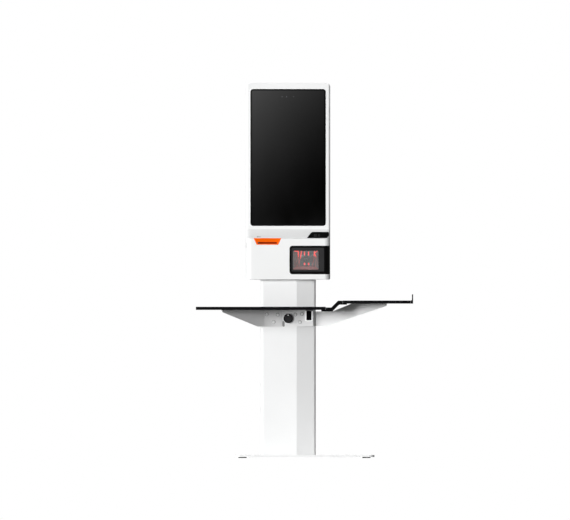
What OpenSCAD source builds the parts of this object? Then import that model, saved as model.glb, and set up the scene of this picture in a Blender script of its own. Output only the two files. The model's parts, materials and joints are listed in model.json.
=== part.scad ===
// Self-service kiosk on a floor stand, with a low shelf and a raised tray beside its column.
// Millimetres. The front faces -Y, up is +Z, and the origin lies on the floor.

/* [Stand] */
// Width of the base plate
base_w = 608; // [580:1:680]
// Depth of the base plate
base_d = 450; // [430:1:520]
// Thickness of the base plate
base_t = 8.7; // [6:0.1:14]
// Corner radius of the base plate
base_r = 26; // [10:1:40]
// Distance of the base plate's centre behind the origin
base_y = 20; // [10:1:40]
// Diameter of a levelling foot's pad
foot_d = 36; // [28:1:44]
// Height of a levelling foot below the base plate
foot_h = 4.3; // [3:0.1:10]
// Diameter of a levelling foot's stud
foot_stud_d = 10; // [8:1:12]
// Distance of a foot's axis from the plate's edges
foot_inset = 35; // [28:1:45]
// Diameter of a floor anchor hole
anchor_d = 11; // [8:0.5:14]
// Distance between anchor holes across the plate
anchor_span_x = 420; // [400:1:440]
// Distance between anchor holes from front to rear
anchor_span_y = 330; // [310:1:350]

/* [Column] */
// Position of the column and head axis, negative to the left of the origin
column_x = -71; // [-80:1:-60]
// Distance of the column's front face behind the origin
column_y = 45; // [40:1:50]
// Width of the column
column_w = 240; // [225:1:250]
// Depth of the column
column_d = 110; // [105:1:120]
// Height of the column above the base plate
column_h = 762; // [740:1:800]
// Sheet thickness of the column
column_wall = 2; // [1.5:0.1:3]
// Distance of the front crease from the column axis
crease_x = 37; // [30:1:40]
// Depth by which the slanted front facet recedes
facet_set = 24; // [20:1:30]
// Outer bend radius of the column's corners
column_r = 14; // [8:1:16]

/* [Shelf] */
// Overall width of shelf and tray
shelf_w = 944; // [920:1:980]
// Depth of the boards
shelf_d = 289.5; // [270:0.5:300]
// Height of the low board's top above the floor
shelf_z = 657; // [640:1:665]
// Thickness of the boards
board_t = 13.5; // [12:0.5:15]
// Corner radius of the boards
board_r = 18; // [8:1:30]
// Height of the tray's top above the low board's top
tray_rise = 27.3; // [24:0.1:32]
// Position of the low board's right end
step_x = 92; // [84:1:100]
// Thickness of the step profile
step_t = 17.3; // [16.5:0.1:18.5]
// Width of each ledge that carries a board's end
ledge_w = 19; // [14:1:24]
// Height of the end stop above the tray
stop_h = 27; // [15:1:45]
// Thickness of the end stop's blade
stop_t = 3.7; // [2.5:0.1:5]
// Height of the shelf brackets
bracket_h = 72.5; // [66:0.5:80]
// Sheet thickness of the shelf brackets
sheet_t = 3; // [2:0.1:4]
// Distance of both wing tips from the origin
wing_reach = 358; // [340:1:375]
// Distance of the wing tips in front of the column's face
wing_sweep = 145; // [130:1:160]

/* [Controls] */
// Diameter of the bracket knob
knob_d = 41; // [36:0.5:46]
// Depth of the bracket knob
knob_h = 18; // [14:0.5:24]
// Diameter of the knob's shaft
knob_shaft_d = 10; // [8:0.5:12]
// Width of the rocker
rocker_w = 21.2; // [18:0.1:23]
// Height of the rocker
rocker_h = 35; // [30:0.5:38]
// Angle through which the rocker tips
rocker_throw = 16; // [10:1:18]

/* [Head] */
// Width of the white margin beside the glass
side_margin = 19.1; // [17:0.05:24]
// Height of the white margin above the glass
top_margin = 26.5; // [20:0.5:40]
// Radius of the head's top corners
head_r = 17; // [10:1:22]
// Rounding of the head's front side edges
edge_r = 9; // [7:0.5:10]
// Rounding of the door's upright edges
chin_edge_r = 25; // [22:0.5:26]
// Height of the service door
door_h = 180; // [178:1:190]
// Height of the sloped shoulder above the door
shoulder_h = 38; // [36:0.5:42]
// Distance of the door's face in front of the column
chin_overhang = 34; // [32:1:38]
// Distance of the screen's face behind the door's face
chin_step = 28; // [26:0.5:30]
// Depth of the lower box from the door's face to the back
chin_d = 127; // [124:1:140]
// Depth of the upper slab from the screen's face to the back
slab_d = 66; // [64:1:72]
// Depth of the front frame
frame_d = 32; // [30:1:34]
// Wall thickness of the front frame and the door
wall = 3; // [2.6:0.1:3.4]
// Wall thickness of the rear shell
shell_wall = 2.5; // [2:0.1:3]
// Width of the cover glass
glass_w = 327.2; // [322:0.1:330]
// Height of the cover glass
glass_h = 594.5; // [588:0.5:598]
// Thickness of the cover glass
glass_t = 4; // [3.4:0.1:4.4]
// Corner radius of the cover glass
glass_r = 12; // [8:0.5:16]
// Height of the glass's lower edge above the head's underside
glass_lift = 233.5; // [231:0.5:240]

/* [Receipt printer] */
// Position of the printer from the head's axis
printer_off = -90; // [-94:1:-88]
// Diameter of a full paper roll
roll_d = 80; // [60:1:82]
// Width of the paper roll
roll_w = 79.5; // [76:0.5:80]
// Diameter of the roll's core
core_d = 12.2; // [10:0.1:14]
// Diameter of the platen roller
platen_d = 16; // [14:0.1:17]
// Diameter of the platen's shaft
platen_shaft_d = 6; // [5:0.1:7]
// Gear module
gear_m = 0.9; // [0.85:0.01:0.95]
// Teeth of the platen gear
platen_teeth = 36; // [36:1:37]
// Teeth of the motor pinion
pinion_teeth = 20; // [19:1:20]
// Width of the paper slot
slot_w = 83.4; // [82:0.2:86]
// Height of the paper slot
slot_h = 7.5; // [6.5:0.1:8]

/* [Scanner] */
// Position of the bezel's left edge from the head's axis
bezel_off = 6; // [4:0.5:8]
// Height of the bezel's lower edge above the head's underside
bezel_lift = 23.5; // [22:0.5:32]
// Height of the bezel
bezel_h = 123.5; // [118:0.5:125]
// Width of the scanner window
window_w = 142; // [138:0.5:146]
// Height of the scanner window
window_h = 103.8; // [100:0.2:106]
// Width of the chamber's mouth
mouth_w = 111.3; // [108:0.1:114]
// Height of the chamber's mouth
mouth_h = 82.5; // [80:0.1:85]
// Depth of the scanner chamber
chamber_d = 50; // [44:1:54]

/* [Fits] */
// Gap between fixed pieces that lie side by side
seam = 0.3; // [0.2:0.05:0.4]
// Gap between the door and the head
door_seam = 0.5; // [0.4:0.1:0.8]
// Radial clearance of a turning shaft
run_clear = 0.06; // [0.04:0.01:0.1]
// Radial clearance of a screw in its hole
screw_clear = 0.2; // [0.1:0.05:0.3]

/* [Hidden] */
$fn = 48;

white = [0.95, 0.95, 0.95];
pale = [0.85, 0.86, 0.87];
black = [0.05, 0.05, 0.06];
dark = [0.2, 0.2, 0.22];
steel = [0.62, 0.63, 0.65];
board_green = [0.1, 0.32, 0.2];

// Heights and depths that several pieces share
head_w = glass_w + 2 * side_margin;
head_h = glass_lift + glass_h + top_margin;
base_top = foot_h + base_t;
head_z = base_top + column_h;
head_top = head_z + head_h;
door_top = head_z + door_h;
column_back = column_y + column_d;
head_x0 = column_x - head_w / 2;
head_x1 = column_x + head_w / 2;
chin_y = column_y - chin_overhang;
screen_y = chin_y + chin_step;
door_back = column_y - 2;
shell_y = door_back + door_seam;
frame_back = screen_y + frame_d;
slab_back = screen_y + slab_d;
box_back = chin_y + chin_d;
frame_z = door_top + door_seam;
shoulder_top = door_top + shoulder_h;

// Base plate and feet
foot_gap = seam;
base_bolt_d = 8;
base_bolt_head_d = 14;
base_bolt_head_h = 6;
base_flange_t = 6;
base_bolt_side = 40;
base_bolt_front = 20;
base_bolt_rear = 14;
base_bolt_span_x = column_w - 2 * base_bolt_side;
base_bolt_span_y = column_d - facet_set - base_bolt_front;
base_bolt_y = column_back - column_wall - base_bolt_span_y / 2 - base_bolt_rear;
base_bolts_at = [for (sx = [-1, 1], sy = [-1, 1])
    [column_x + sx * base_bolt_span_x / 2, base_bolt_y + sy * base_bolt_span_y / 2]];

// Column
cover_t = 1.5;
cover_margin = 10;
cover_r = 6;
cover_screw_in = 7;
cover_screw_end = 25;
cover_screw_grip = 4;
cover_z0 = base_top + 30;
cover_z1 = head_z - 50;
opening_lap = 14;
cover_screw_d = 4;
cover_screw_head_d = 8;
cover_screw_head_h = 2.4;
inlet_w = 50;
inlet_h = 30;
inlet_d = 24;
inlet_rim = 4;
inlet_rim_t = 2.5;
inlet_floor = 4;
socket_w = 27;
socket_h = 18;
inlet_z = cover_z0 + 60;
mount_t = 4;
mount_bolt_d = 6;
mount_bolt_head_d = 10;
mount_bolt_head_h = 4;
mount_span_x = 130;
mount_span_y = 40;
mount_y = column_y + 57;
mount_at = [for (sx = [-1, 1], sy = [-1, 1])
    [column_x + sx * mount_span_x / 2, mount_y + sy * mount_span_y / 2]];
cable_hole_d = 44;
cable_hole_y = column_y + 65;
supply_size = [150, 62, 210];
supply_z = inlet_z + inlet_h + 20;
supply_y = column_back - column_wall - supply_size.y - 3;
pillar_w = 120;
pillar_t = 5;
pillar_y = supply_y + supply_size.y / 2;

// Shelf
board_y0 = column_y - 0.5 - shelf_d;
board_y1 = column_y - 0.5;
shelf_bottom = shelf_z - board_t;
tray_top = shelf_z + tray_rise;
tray_bottom = tray_top - board_t;
step_low_drop = 3;
step_high_drop = 0.8;
step_low_top = shelf_z - step_low_drop;
step_low_bottom = step_low_top - step_t;
step_high_top = tray_top - step_high_drop;
step_high_bottom = step_high_top - step_t;
step_flat = 24;
step_rise = step_high_top - step_low_top;
step_slant_x = step_x + seam + step_flat;
step_high_x = step_slant_x + step_rise;
step_under = 5;
step_head = 20;
tray_x = step_high_x + step_head;
stop_foot_w = 10.7;
stop_foot_lip = 2;
stop_edge = 2.3;
tray_end = shelf_w / 2 - stop_foot_w - seam;
bracket_z = shelf_bottom - bracket_h;
flange_mid_y = column_y - sheet_t / 2;
flange_gap = 12;
seam_x = column_x - 21;
left_flange_x = column_x - column_w / 2 + 13;
right_flange_x = column_x + column_w / 2 - 12;
right_root = [column_x + column_w / 2 + 1, column_y + 23];
wing_tip_y = column_y - wing_sweep;
wing_tip_h = 9.5;
wing_tip_r = 7;
wing_heel = 26;
wing_heel_r = 10;
heel_x = step_x + 6;
tray_wing_x = step_high_x + 58;
flange_r = 2;
lip_w = 22;
lip_start = 30;
lip_end = 14;
lip_screw = 40;
bracket_screw_d = 5;
bracket_head_d = 13;
bracket_head_h = 3;
bracket_nut_d = 9.5;
bracket_nut_h = 3;
left_screws = [[seam_x - 72, shelf_bottom - 19], [seam_x - 24, shelf_bottom - 21],
    [seam_x - 42, shelf_bottom - 53]];
right_screws = [[seam_x + 52, shelf_bottom - 20]];
right_nut_screws = [[seam_x + 81, shelf_bottom - 18], [seam_x + 72, shelf_bottom - 53]];
shelf_screw_d = 4;
shelf_screw_head_d = 8;
shelf_screw_head_h = 2.5;
shelf_screw_len = 9;

// Knob and rocker
knob_drop = 37;
knob_z = shelf_bottom - knob_drop;
knob_y = column_y - sheet_t;
knob_edge = 4;
knob_rim = 3;
knob_dish = 1.5;
pawl_t = 3;
pawl_w = 12;
pawl_l = 30;
rocker_x = right_flange_x - 17.5;
rocker_z = shelf_bottom - 24;
rocker_gap = 0.4;
rocker_rim = 4.7;
rocker_rim_t = 2.5;
rocker_box_d = 12;
rocker_box_wall = 2;
rocker_pin_d = 3;
rocker_axis_y = knob_y + 4;
rocker_nose = 8.5;
rocker_dish = 2.5;
rocker_tail = 5;
rocker_end_gap = 2;
rocker_frame_r = 3;
rocker_top_rim = 4;

// Front frame, glass and display
nose_y = chin_y + 1.5;
nose_z = frame_z + 1.7;
shoulder_wall = 3.5;
slope_run = screen_y - nose_y;
slope_rise = shoulder_top - nose_z;
slope_len = sqrt(slope_run * slope_run + slope_rise * slope_rise);
slope_deg = atan2(slope_rise, slope_run);
glass_sink = 0.2;
tape_t = 0.6;
ledge_t = 1.7;
ledge_in = 7;
front_t = glass_sink + glass_t + tape_t + ledge_t;
glass_y = screen_y + glass_sink;
glass_back = glass_y + glass_t;
glass_zc = head_z + glass_lift + glass_h / 2;
panel_side = 10;
panel_foot = 15;
panel_head = 41;
panel_w = glass_w - 2 * panel_side;
panel_h = glass_h - panel_foot - panel_head;
panel_t = 11;
panel_z = head_z + glass_lift + panel_foot;
camera_w = 80;
camera_h = 14;
camera_t = 9;
camera_gap = 2;
chassis_y = glass_back + panel_t;
chassis_t = 1.5;
boss_d = 10;
boss_out = 6;
boss_x = glass_w / 2 + boss_out;
boss_hole_d = 3;
boss_in = 20;
boss_zs = [glass_zc - glass_h / 2 + boss_in, glass_zc, glass_zc + glass_h / 2 - boss_in];
chassis_lap = 12;
chassis_foot = 20;
chassis_head = 14;
chassis_hole_d = 3.4;
post_d = 9;
post_x = glass_w / 2 - 23;
post_low = 70;
post_high = 60;
post_zs = [shoulder_top + post_low, head_top - post_high];
standoff_d = 6;
standoff_h = 8;
main_w = 180;
main_h = 140;
main_lift = 190;
main_z = shoulder_top + main_lift;
main_t = 1.6;
standoff_in = 6;
cooler_w = 50;
cooler_h = 12;
ports_w = 160;
ports_h = 13;
ports_d = 16;
pad_w = 97;
pad_edge = 3.7;
pad_x1 = head_x1 - pad_edge;
pad_x0 = pad_x1 - pad_w;
pad_foot = -2;
pad_head = 11.7;
pad_v1 = slope_len - pad_head;
pad_slant = 21;
pad_r = 9;
pad_tip_r = 2;
antenna_in = 10;
pad_sink = 2.2;
pad_proud = 0.8;

// Rear shell
shell_slope_low = 18;
shell_slope_high = 27;
shell_slope_z0 = shoulder_top - shell_slope_low;
shell_slope_z1 = shoulder_top + shell_slope_high;
bottom_r = 6;
open_cut = 10;
vent_w = 200;
vent_h = 60;
vent_drop = 190;
vent_z = head_top - vent_drop;
vent_pitch = 10;
vent_slot = 4;
vent_rim = 7;
vent_sink = 0.5;
shell_screw_d = 4;
shell_screw_head_d = 8;
shell_screw_head_h = 2.4;
shell_screw_len = 12;

// Door, hinge, lock and catch
chin_r = 3.5;
brow_r = 4;
hinge_r = 9;
hinge_y = door_back - hinge_r;
hinge_z = head_z + hinge_r;
pin_d = 5;
pin_seat = 0.04;
knuckle_r = 6.5;
knuckle_l = 10;
ear_r = 5.5;
ear_t = 6;
ear_gap = 0.5;
ear_x1 = head_w / 2 - wall - knuckle_l - ear_gap;
ear_x0 = ear_x1 - ear_t;
ear_root = 20;
lock_d = 18;
lock_flange_d = 22;
lock_flange_t = 1.5;
lock_l = 19;
lock_nut_d = 26;
lock_nut_h = 4;
lock_set = 22.5;
lock_drop = 30;
lock_y = shell_y + lock_set;
lock_z = door_top - lock_drop;
key_w = 1.4;
key_h = 6.4;
key_d = 8;
plug_d = 10;
cam_t = 3;
cam_w = 12;
cam_l = 26;
cam_gap = 11;
cam_x = head_x0 + lock_l + cam_gap;
catch_t = 3;
catch_rise = 2;
catch_play = 1.5;
catch_foot = 10;
catch_z0 = lock_z + cam_w / 2 + catch_rise;
catch_h = 11;
catch_lip_y = lock_y + cam_w / 2 + catch_play;

// Receipt outlet and printer
printer_x = column_x + printer_off;
outlet_top_w = 120;
outlet_low_w = 93.4;
outlet_h = 28;
outlet_z = door_top - outlet_h;
outlet_d = 18;
outlet_lip = 2.6;
slot_drop = 24;
slot_z = door_top - slot_drop;
chute_wall = 2;
bar_t = 0.8;
bar_d = 9;
bar_pitch = 2;
bar_tooth = 1.4;
tray_t = 2.5;
tray_half = ear_x0 - 7;
tray_front = 4;
tray_back_h = 30;
cradle_t = 2;
cradle_half = 14;
plate_t = 2.5;
side_in = 45.5;
printer_set = 2.5;
printer_drop = 28;
printer_y = shell_y + printer_set;
printer_z = slot_z - printer_drop;
side_d = 56;
side_rise = 18;
platen_set = 16;
platen_drop = 4;
platen_y = printer_y + platen_set;
platen_z = slot_z - platen_drop;
platen_half = 41;
web_y = platen_y + platen_d / 2;
shaft_end = 2;
gear_t = 6;
gear_gap = 2;
gear_x = printer_x + side_in + plate_t + gear_gap;
gear_play = 0.06;
gear_axis = gear_m * (platen_teeth + pinion_teeth) / 2 + gear_play;
gear_lash = 0.04;
motor_d = 26;
motor_l = 25;
motor_shaft_d = 3;
shaft_seat = 5;
head_gap = 0.25;
head_plate_t = 3.6;
head_low = 10;
head_high = 14;
roll_room = 43;
roll_lift = 57;
roll_y = box_back - shell_wall - tray_t - roll_room;
roll_z = head_z + shell_wall + tray_t + roll_lift;
core_play = 0.4;
spindle_d = core_d - core_play;
spindle_end = 4;
cradle_gap = 2;
cradle_in = roll_w / 2 + cradle_gap;
button_d = 8;
button_l = 9;
button_off = 30;
button_lift = 9;
button_x = printer_x + button_off;
button_z = printer_z + button_lift;
switch_w = 14;
switch_h = 12.5;
switch_d = 7;
switch_floor = 0.5;
button_reach = 5;

// Scanner
bezel_x0 = column_x + bezel_off;
bezel_z0 = head_z + bezel_lift;
bezel_z1 = bezel_z0 + bezel_h;
bezel_r = 13;
bezel_t = 4;
window_side = 8.5;
window_foot = 11.5;
window_x0 = bezel_x0 + window_side;
window_z0 = bezel_z0 + window_foot;
window_t = 2.2;
window_r = 5;
mouth_side = 6.5;
mouth_foot = 8.3;
mouth_x = window_x0 + mouth_side + mouth_w / 2;
mouth_z = window_z0 + mouth_foot + mouth_h / 2;
chamber_y = chin_y + bezel_t;
chamber_wall = 2;
chamber_back_w = 78;
chamber_back_h = 54;
chamber_rim = 6;
chamber_rim_t = 2;
lens_d = 12;
lens_in = 5;
engine_w = 32;
engine_h = 24;
engine_d = 8;
lamp_d = 6;
lamp_t = 4;
lamp_x = -5;
lamp_z = -19;
lamp_pitch = 18;
bar_w = 4;
bar_h = 12;
bar_z = 13;
side_bar_x = 30;
side_bar_z = 5;
side_bar_h = 20;

// Points of an arc about a centre
function arc(c, r, a0, a1, n) = [for (i = [0 : n])
    let (a = a0 + (a1 - a0) * i / n) c + r * [cos(a), sin(a)]];

// One rounded corner between its neighbours
function corner(p0, p1, p2, r, n) =
    r <= 0 ? [p1] :
    let (u = (p0 - p1) / norm(p0 - p1), v = (p2 - p1) / norm(p2 - p1),
        half = acos(u * v) / 2, c = p1 + (u + v) / norm(u + v) * r / sin(half),
        a = p1 + u * r / tan(half) - c, b = p1 + v * r / tan(half) - c,
        a0 = atan2(a.y, a.x), d = atan2(b.y, b.x) - a0,
        s = d > 180 ? d - 360 : d < -180 ? d + 360 : d)
    arc(c, r, a0, a0 + s, n);

// An outline with a radius at each of its corners
function rounded(pts, radii, n = 6) = let (k = len(pts)) [for (i = [0 : k - 1])
    each corner(pts[(i + k - 1) % k], pts[i], pts[(i + 1) % k], radii[i], n)];

function four(r) = [r, r, r, r];

function rect(x0, x1, z0, z1) = [[x0, z0], [x1, z0], [x1, z1], [x0, z1]];

// Left normal of the step from a to b
function left(a, b) = [a.y - b.y, b.x - a.x] / norm(b - a);

// A closed outline moved inwards, for outlines that turn left
function inset(pts, d) = let (k = len(pts)) [for (i = [0 : k - 1])
    let (m = left(pts[(i + k - 1) % k], pts[i]), n = left(pts[i], pts[(i + 1) % k]))
    pts[i] + (m + n) * d / (1 + m * n)];

// One side of a bent sheet that follows a path
function sheet_side(path, d) = let (k = len(path)) [for (i = [0 : k - 1])
    let (m = left(path[max(i - 1, 0)], path[max(i, 1)]),
        n = left(path[min(i, k - 2)], path[min(i + 1, k - 1)]))
    path[i] + (m + n) * d / (1 + m * n)];

function reversed(v) = [for (i = [len(v) - 1 : -1 : 0]) v[i]];

function sheet(path, t) = concat(sheet_side(path, t / 2), reversed(sheet_side(path, -t / 2)));

// Involute gear outline
function roll_off(a) = tan(a) * 180 / PI - a;

function tooth_half(m, z, r) = 90 / z + roll_off(20) - roll_off(acos(min(1, m * z / 2 * cos(20) / r)))
    - gear_lash / (m * z / 2) * 180 / PI;

function polar(r, a) = r * [cos(a), sin(a)];

function tooth_radii(m, z) = let (r0 = max(m * z / 2 * cos(20), m * (z / 2 - 1.25)) + 0.01,
    r1 = m * (z / 2 + 1)) [for (k = [0 : 4]) r0 + (r1 - r0) * k / 4];

function gear(m, z, turn) = let (rs = tooth_radii(m, z), foot = m * (z / 2 - 1.25))
    [for (i = [0 : z - 1]) let (a = turn + 360 * i / z) each concat(
        [polar(foot, a - tooth_half(m, z, rs[0]))],
        [for (r = rs) polar(r, a - tooth_half(m, z, r))],
        [for (r = reversed(rs)) polar(r, a + tooth_half(m, z, r))],
        [polar(foot, a + tooth_half(m, z, rs[0]))])];

// Depth of the shoulder's inner face at a height
function slope_y(z) = nose_y + shoulder_wall * slope_rise / slope_len
    + (z - nose_z + shoulder_wall * slope_run / slope_len) * slope_run / slope_rise;

column_outline = [[column_x - column_w / 2, column_y], [column_x + crease_x, column_y],
    [column_x + column_w / 2, column_y + facet_set], [column_x + column_w / 2, column_back],
    [column_x - column_w / 2, column_back]];

function column_loop(d) = rounded(inset(column_outline, d),
    [column_r - d, 0, column_r - d, column_r / 2, column_r / 2]);

// Placing helpers
module box(x0, x1, y0, y1, z0, z1) {
    translate([x0, y0, z0])
        cube([x1 - x0, y1 - y0, z1 - z0]);
}

module prism_x(pts, x0, x1) {
    translate([x0, 0, 0])
        rotate([90, 0, 90])
            linear_extrude(x1 - x0)
                polygon(pts);
}

module prism_y(pts, y0, y1) {
    translate([0, y1, 0])
        rotate([90, 0, 0])
            linear_extrude(y1 - y0)
                polygon(pts);
}

module prism_z(pts, z0, z1) {
    translate([0, 0, z0])
        linear_extrude(z1 - z0)
            polygon(pts);
}

module rod_x(y, z, d, x0, x1) {
    translate([x0, y, z])
        rotate([0, 90, 0])
            cylinder(d = d, h = x1 - x0);
}

module rod_y(x, z, d, y0, y1) {
    translate([x, y0, z])
        rotate([-90, 0, 0])
            cylinder(d = d, h = y1 - y0);
}

module rod_z(x, y, d, z0, z1) {
    translate([x, y, z0])
        cylinder(d = d, h = z1 - z0);
}

module both_ends() {
    translate([column_x, 0, 0]) {
        children();
        mirror([1, 0, 0])
            children();
    }
}

// Base plate and feet
module at_feet() {
    for (sx = [-1, 1], sy = [-1, 1])
        translate([sx * (base_w / 2 - foot_inset), base_y + sy * (base_d / 2 - foot_inset), 0])
            children();
}

module at_anchors() {
    for (sx = [-1, 1], sy = [-1, 1])
        translate([sx * anchor_span_x / 2, base_y + sy * anchor_span_y / 2, 0])
            children();
}

module base_plate() {
    color(white)
        difference() {
            translate([0, base_y, 0])
                prism_z(rounded(rect(-base_w / 2, base_w / 2, -base_d / 2, base_d / 2),
                    four(base_r)), foot_h, base_top);
            at_feet()
                rod_z(0, 0, foot_stud_d + 2 * run_clear, foot_h - 1, base_top + 1);
            at_anchors()
                rod_z(0, 0, anchor_d, foot_h - 1, base_top + 1);
            for (p = base_bolts_at)
                rod_z(p.x, p.y, base_bolt_d + 2 * screw_clear, foot_h - 1, base_top + 1);
        }
}

module foot(sx, sy) {
    color(black)
        translate([sx * (base_w / 2 - foot_inset), base_y + sy * (base_d / 2 - foot_inset), 0]) {
            rod_z(0, 0, foot_d, 0, foot_h - foot_gap);
            rod_z(0, 0, foot_stud_d, (foot_h - foot_gap) / 2, base_top);
        }
}

module foot_front_left() {
    foot(-1, -1);
}

module foot_front_right() {
    foot(1, -1);
}

module foot_rear_left() {
    foot(-1, 1);
}

module foot_rear_right() {
    foot(1, 1);
}

// Column
module at_cover_screws() {
    for (sx = [-1, 1], z = [cover_z0 + cover_screw_end, (cover_z0 + cover_z1) / 2,
        cover_z1 - cover_screw_end])
        translate([column_x + sx * (column_w / 2 - cover_margin - cover_screw_in), 0, z])
            children();
}

module at_main_face_screws() {
    for (p = concat(left_screws, right_screws))
        translate([p.x, 0, p.y])
            children();
}

module column_shell() {
    color(white)
        difference() {
            prism_z(column_loop(0), base_top, head_z);
            prism_z(column_loop(column_wall), base_top - 1, head_z + 1);
            box(column_x - column_w / 2 + cover_margin + opening_lap,
                column_x + column_w / 2 - cover_margin - opening_lap,
                column_back - column_wall - 1, column_back + 1,
                cover_z0 + opening_lap, cover_z1 - opening_lap);
            at_cover_screws()
                rod_y(0, 0, cover_screw_d + 2 * screw_clear,
                    column_back - column_wall - 1, column_back + 1);
            at_main_face_screws()
                rod_y(0, 0, bracket_screw_d + 2 * screw_clear,
                    column_y - 1, column_y + column_wall + 1);
            rod_y(column_x, knob_z, knob_shaft_d + 2 * run_clear,
                column_y - 1, column_y + column_wall + 1);
        }
}

module column_rear_cover() {
    color(white)
        difference() {
            prism_y(rounded(rect(column_x - column_w / 2 + cover_margin,
                column_x + column_w / 2 - cover_margin, cover_z0, cover_z1), four(cover_r)),
                column_back, column_back + cover_t);
            at_cover_screws()
                rod_y(0, 0, cover_screw_d + 2 * screw_clear,
                    column_back - 1, column_back + cover_t + 1);
            box(column_x - inlet_w / 2 - seam, column_x + inlet_w / 2 + seam,
                column_back - 1, column_back + cover_t + 1,
                inlet_z - seam, inlet_z + inlet_h + seam);
        }
}

module rear_cover_screws() {
    color(steel)
        at_cover_screws() {
            rod_y(0, 0, cover_screw_head_d, column_back + cover_t,
                column_back + cover_t + cover_screw_head_h);
            rod_y(0, 0, cover_screw_d, column_back - column_wall - cover_screw_grip,
                column_back + cover_t + cover_screw_head_h / 2);
        }
}

module column_base_flange() {
    color(steel)
        difference() {
            prism_z(column_loop(column_wall + seam), base_top, base_top + base_flange_t);
            for (p = base_bolts_at)
                rod_z(p.x, p.y, base_bolt_d + 2 * screw_clear, base_top - 1,
                    base_top + base_flange_t + 1);
        }
}

module base_bolts() {
    color(steel)
        for (p = base_bolts_at) {
            rod_z(p.x, p.y, base_bolt_d, foot_h, base_top + base_flange_t + base_bolt_head_h / 2);
            translate([p.x, p.y, base_top + base_flange_t])
                cylinder(d = base_bolt_head_d, h = base_bolt_head_h, $fn = 6);
        }
}

module head_mount_plate() {
    color(steel)
        difference() {
            prism_z(column_loop(column_wall + seam), head_z - mount_t, head_z);
            for (p = mount_at)
                rod_z(p.x, p.y, mount_bolt_d + 2 * screw_clear, head_z - mount_t - 1, head_z + 1);
            rod_z(column_x, cable_hole_y, cable_hole_d, head_z - mount_t - 1, head_z + 1);
        }
}

module head_mount_bolts() {
    color(steel)
        for (p = mount_at) {
            translate([p.x, p.y, head_z - mount_t - mount_bolt_head_h])
                cylinder(d = mount_bolt_head_d, h = mount_bolt_head_h, $fn = 6);
            rod_z(p.x, p.y, mount_bolt_d, head_z - mount_t - mount_bolt_head_h / 2,
                head_z + shell_wall + tray_t + mount_bolt_head_h);
            translate([p.x, p.y, head_z + shell_wall + tray_t])
                cylinder(d = mount_bolt_head_d, h = mount_bolt_head_h - 1, $fn = 6);
        }
}

module power_supply() {
    color(dark)
        translate([column_x - supply_size.x / 2, supply_y, supply_z])
            cube(supply_size);
    color(steel)
        box(column_x - pillar_w / 2, column_x + pillar_w / 2, pillar_y - pillar_t, pillar_y,
            base_top + base_flange_t, supply_z + 1);
}

module power_inlet() {
    rim_back = column_back + cover_t + inlet_rim_t;
    mid_z = inlet_z + inlet_h / 2;
    color(black)
        difference() {
            union() {
                box(column_x - inlet_w / 2 - inlet_rim, column_x + inlet_w / 2 + inlet_rim,
                    column_back + cover_t, rim_back, inlet_z - inlet_rim,
                    inlet_z + inlet_h + inlet_rim);
                box(column_x - inlet_w / 2, column_x + inlet_w / 2, column_back - inlet_d,
                    column_back + cover_t + 1, inlet_z, inlet_z + inlet_h);
            }
            box(column_x - socket_w / 2, column_x + socket_w / 2,
                column_back - inlet_d + inlet_floor, rim_back + 1,
                mid_z - socket_h / 2, mid_z + socket_h / 2);
        }
}

// Shelf brackets
left_path = [[seam_x - flange_gap / 2, flange_mid_y], [left_flange_x, flange_mid_y],
    [-wing_reach, wing_tip_y]];
right_path = [[seam_x + flange_gap / 2, flange_mid_y], [right_flange_x, flange_mid_y],
    right_root, [wing_reach, wing_tip_y]];
left_front = rounded([[seam_x - flange_gap / 2, bracket_z], [seam_x - flange_gap / 2, shelf_bottom],
    [-wing_reach, shelf_bottom], [-wing_reach, shelf_bottom - wing_tip_h],
    [left_flange_x - wing_heel, bracket_z]], [flange_r, 0, 0, wing_tip_r, wing_heel_r]);
right_front = rounded([[seam_x + flange_gap / 2, bracket_z], [heel_x, bracket_z + 3],
    [wing_reach, tray_bottom - wing_tip_h], [wing_reach, tray_bottom],
    [tray_wing_x, tray_bottom], [step_slant_x + step_under, step_low_bottom],
    [right_flange_x + sheet_t, step_low_bottom], [right_flange_x, shelf_bottom],
    [seam_x + flange_gap / 2, shelf_bottom]],
    [flange_r, wing_heel_r, wing_tip_r, 0, 0, 0, 0, 0, 0]);

module along_wing(root, tip) {
    translate([root.x, root.y, 0])
        rotate([0, 0, atan2(tip.y - root.y, tip.x - root.x)])
            children();
}

module on_left_wing() {
    mirror([1, 0, 0])
        along_wing([-left_flange_x, flange_mid_y], [wing_reach, wing_tip_y])
            children();
}

module on_right_wing() {
    along_wing(right_root, [wing_reach, wing_tip_y])
        children();
}

left_wing_len = norm([wing_reach + left_flange_x, flange_mid_y - wing_tip_y]);
right_wing_len = norm([wing_reach - right_root.x, right_root.y - wing_tip_y]);
tray_lip_u = right_wing_len * (tray_wing_x + lip_w / 2 - right_root.x)
    / (wing_reach - right_root.x);

module at_left_shelf_screws() {
    on_left_wing()
        for (u = [2 * lip_start, left_wing_len - lip_screw])
            translate([u, lip_w / 2 + 1, shelf_bottom - sheet_t])
                children();
}

module at_tray_screws() {
    on_right_wing()
        for (u = [tray_lip_u + lip_start, right_wing_len - lip_screw])
            translate([u, lip_w / 2 + 1, tray_bottom - sheet_t])
                children();
}

module shelf_bracket_left() {
    color(pale)
        difference() {
            union() {
                intersection() {
                    prism_z(sheet(left_path, sheet_t), bracket_z - 1, shelf_bottom + 1);
                    prism_y(left_front, wing_tip_y - lip_w, column_y + lip_w);
                }
                on_left_wing()
                    box(lip_start, left_wing_len - lip_end, 0, lip_w, shelf_bottom - sheet_t, shelf_bottom);
            }
            for (p = left_screws)
                rod_y(p.x, p.y, bracket_screw_d + 2 * screw_clear, column_y - sheet_t - 1,
                    column_y + 1);
            at_left_shelf_screws()
                rod_z(0, 0, shelf_screw_d + 2 * screw_clear, -1, sheet_t + 1);
        }
}

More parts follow.
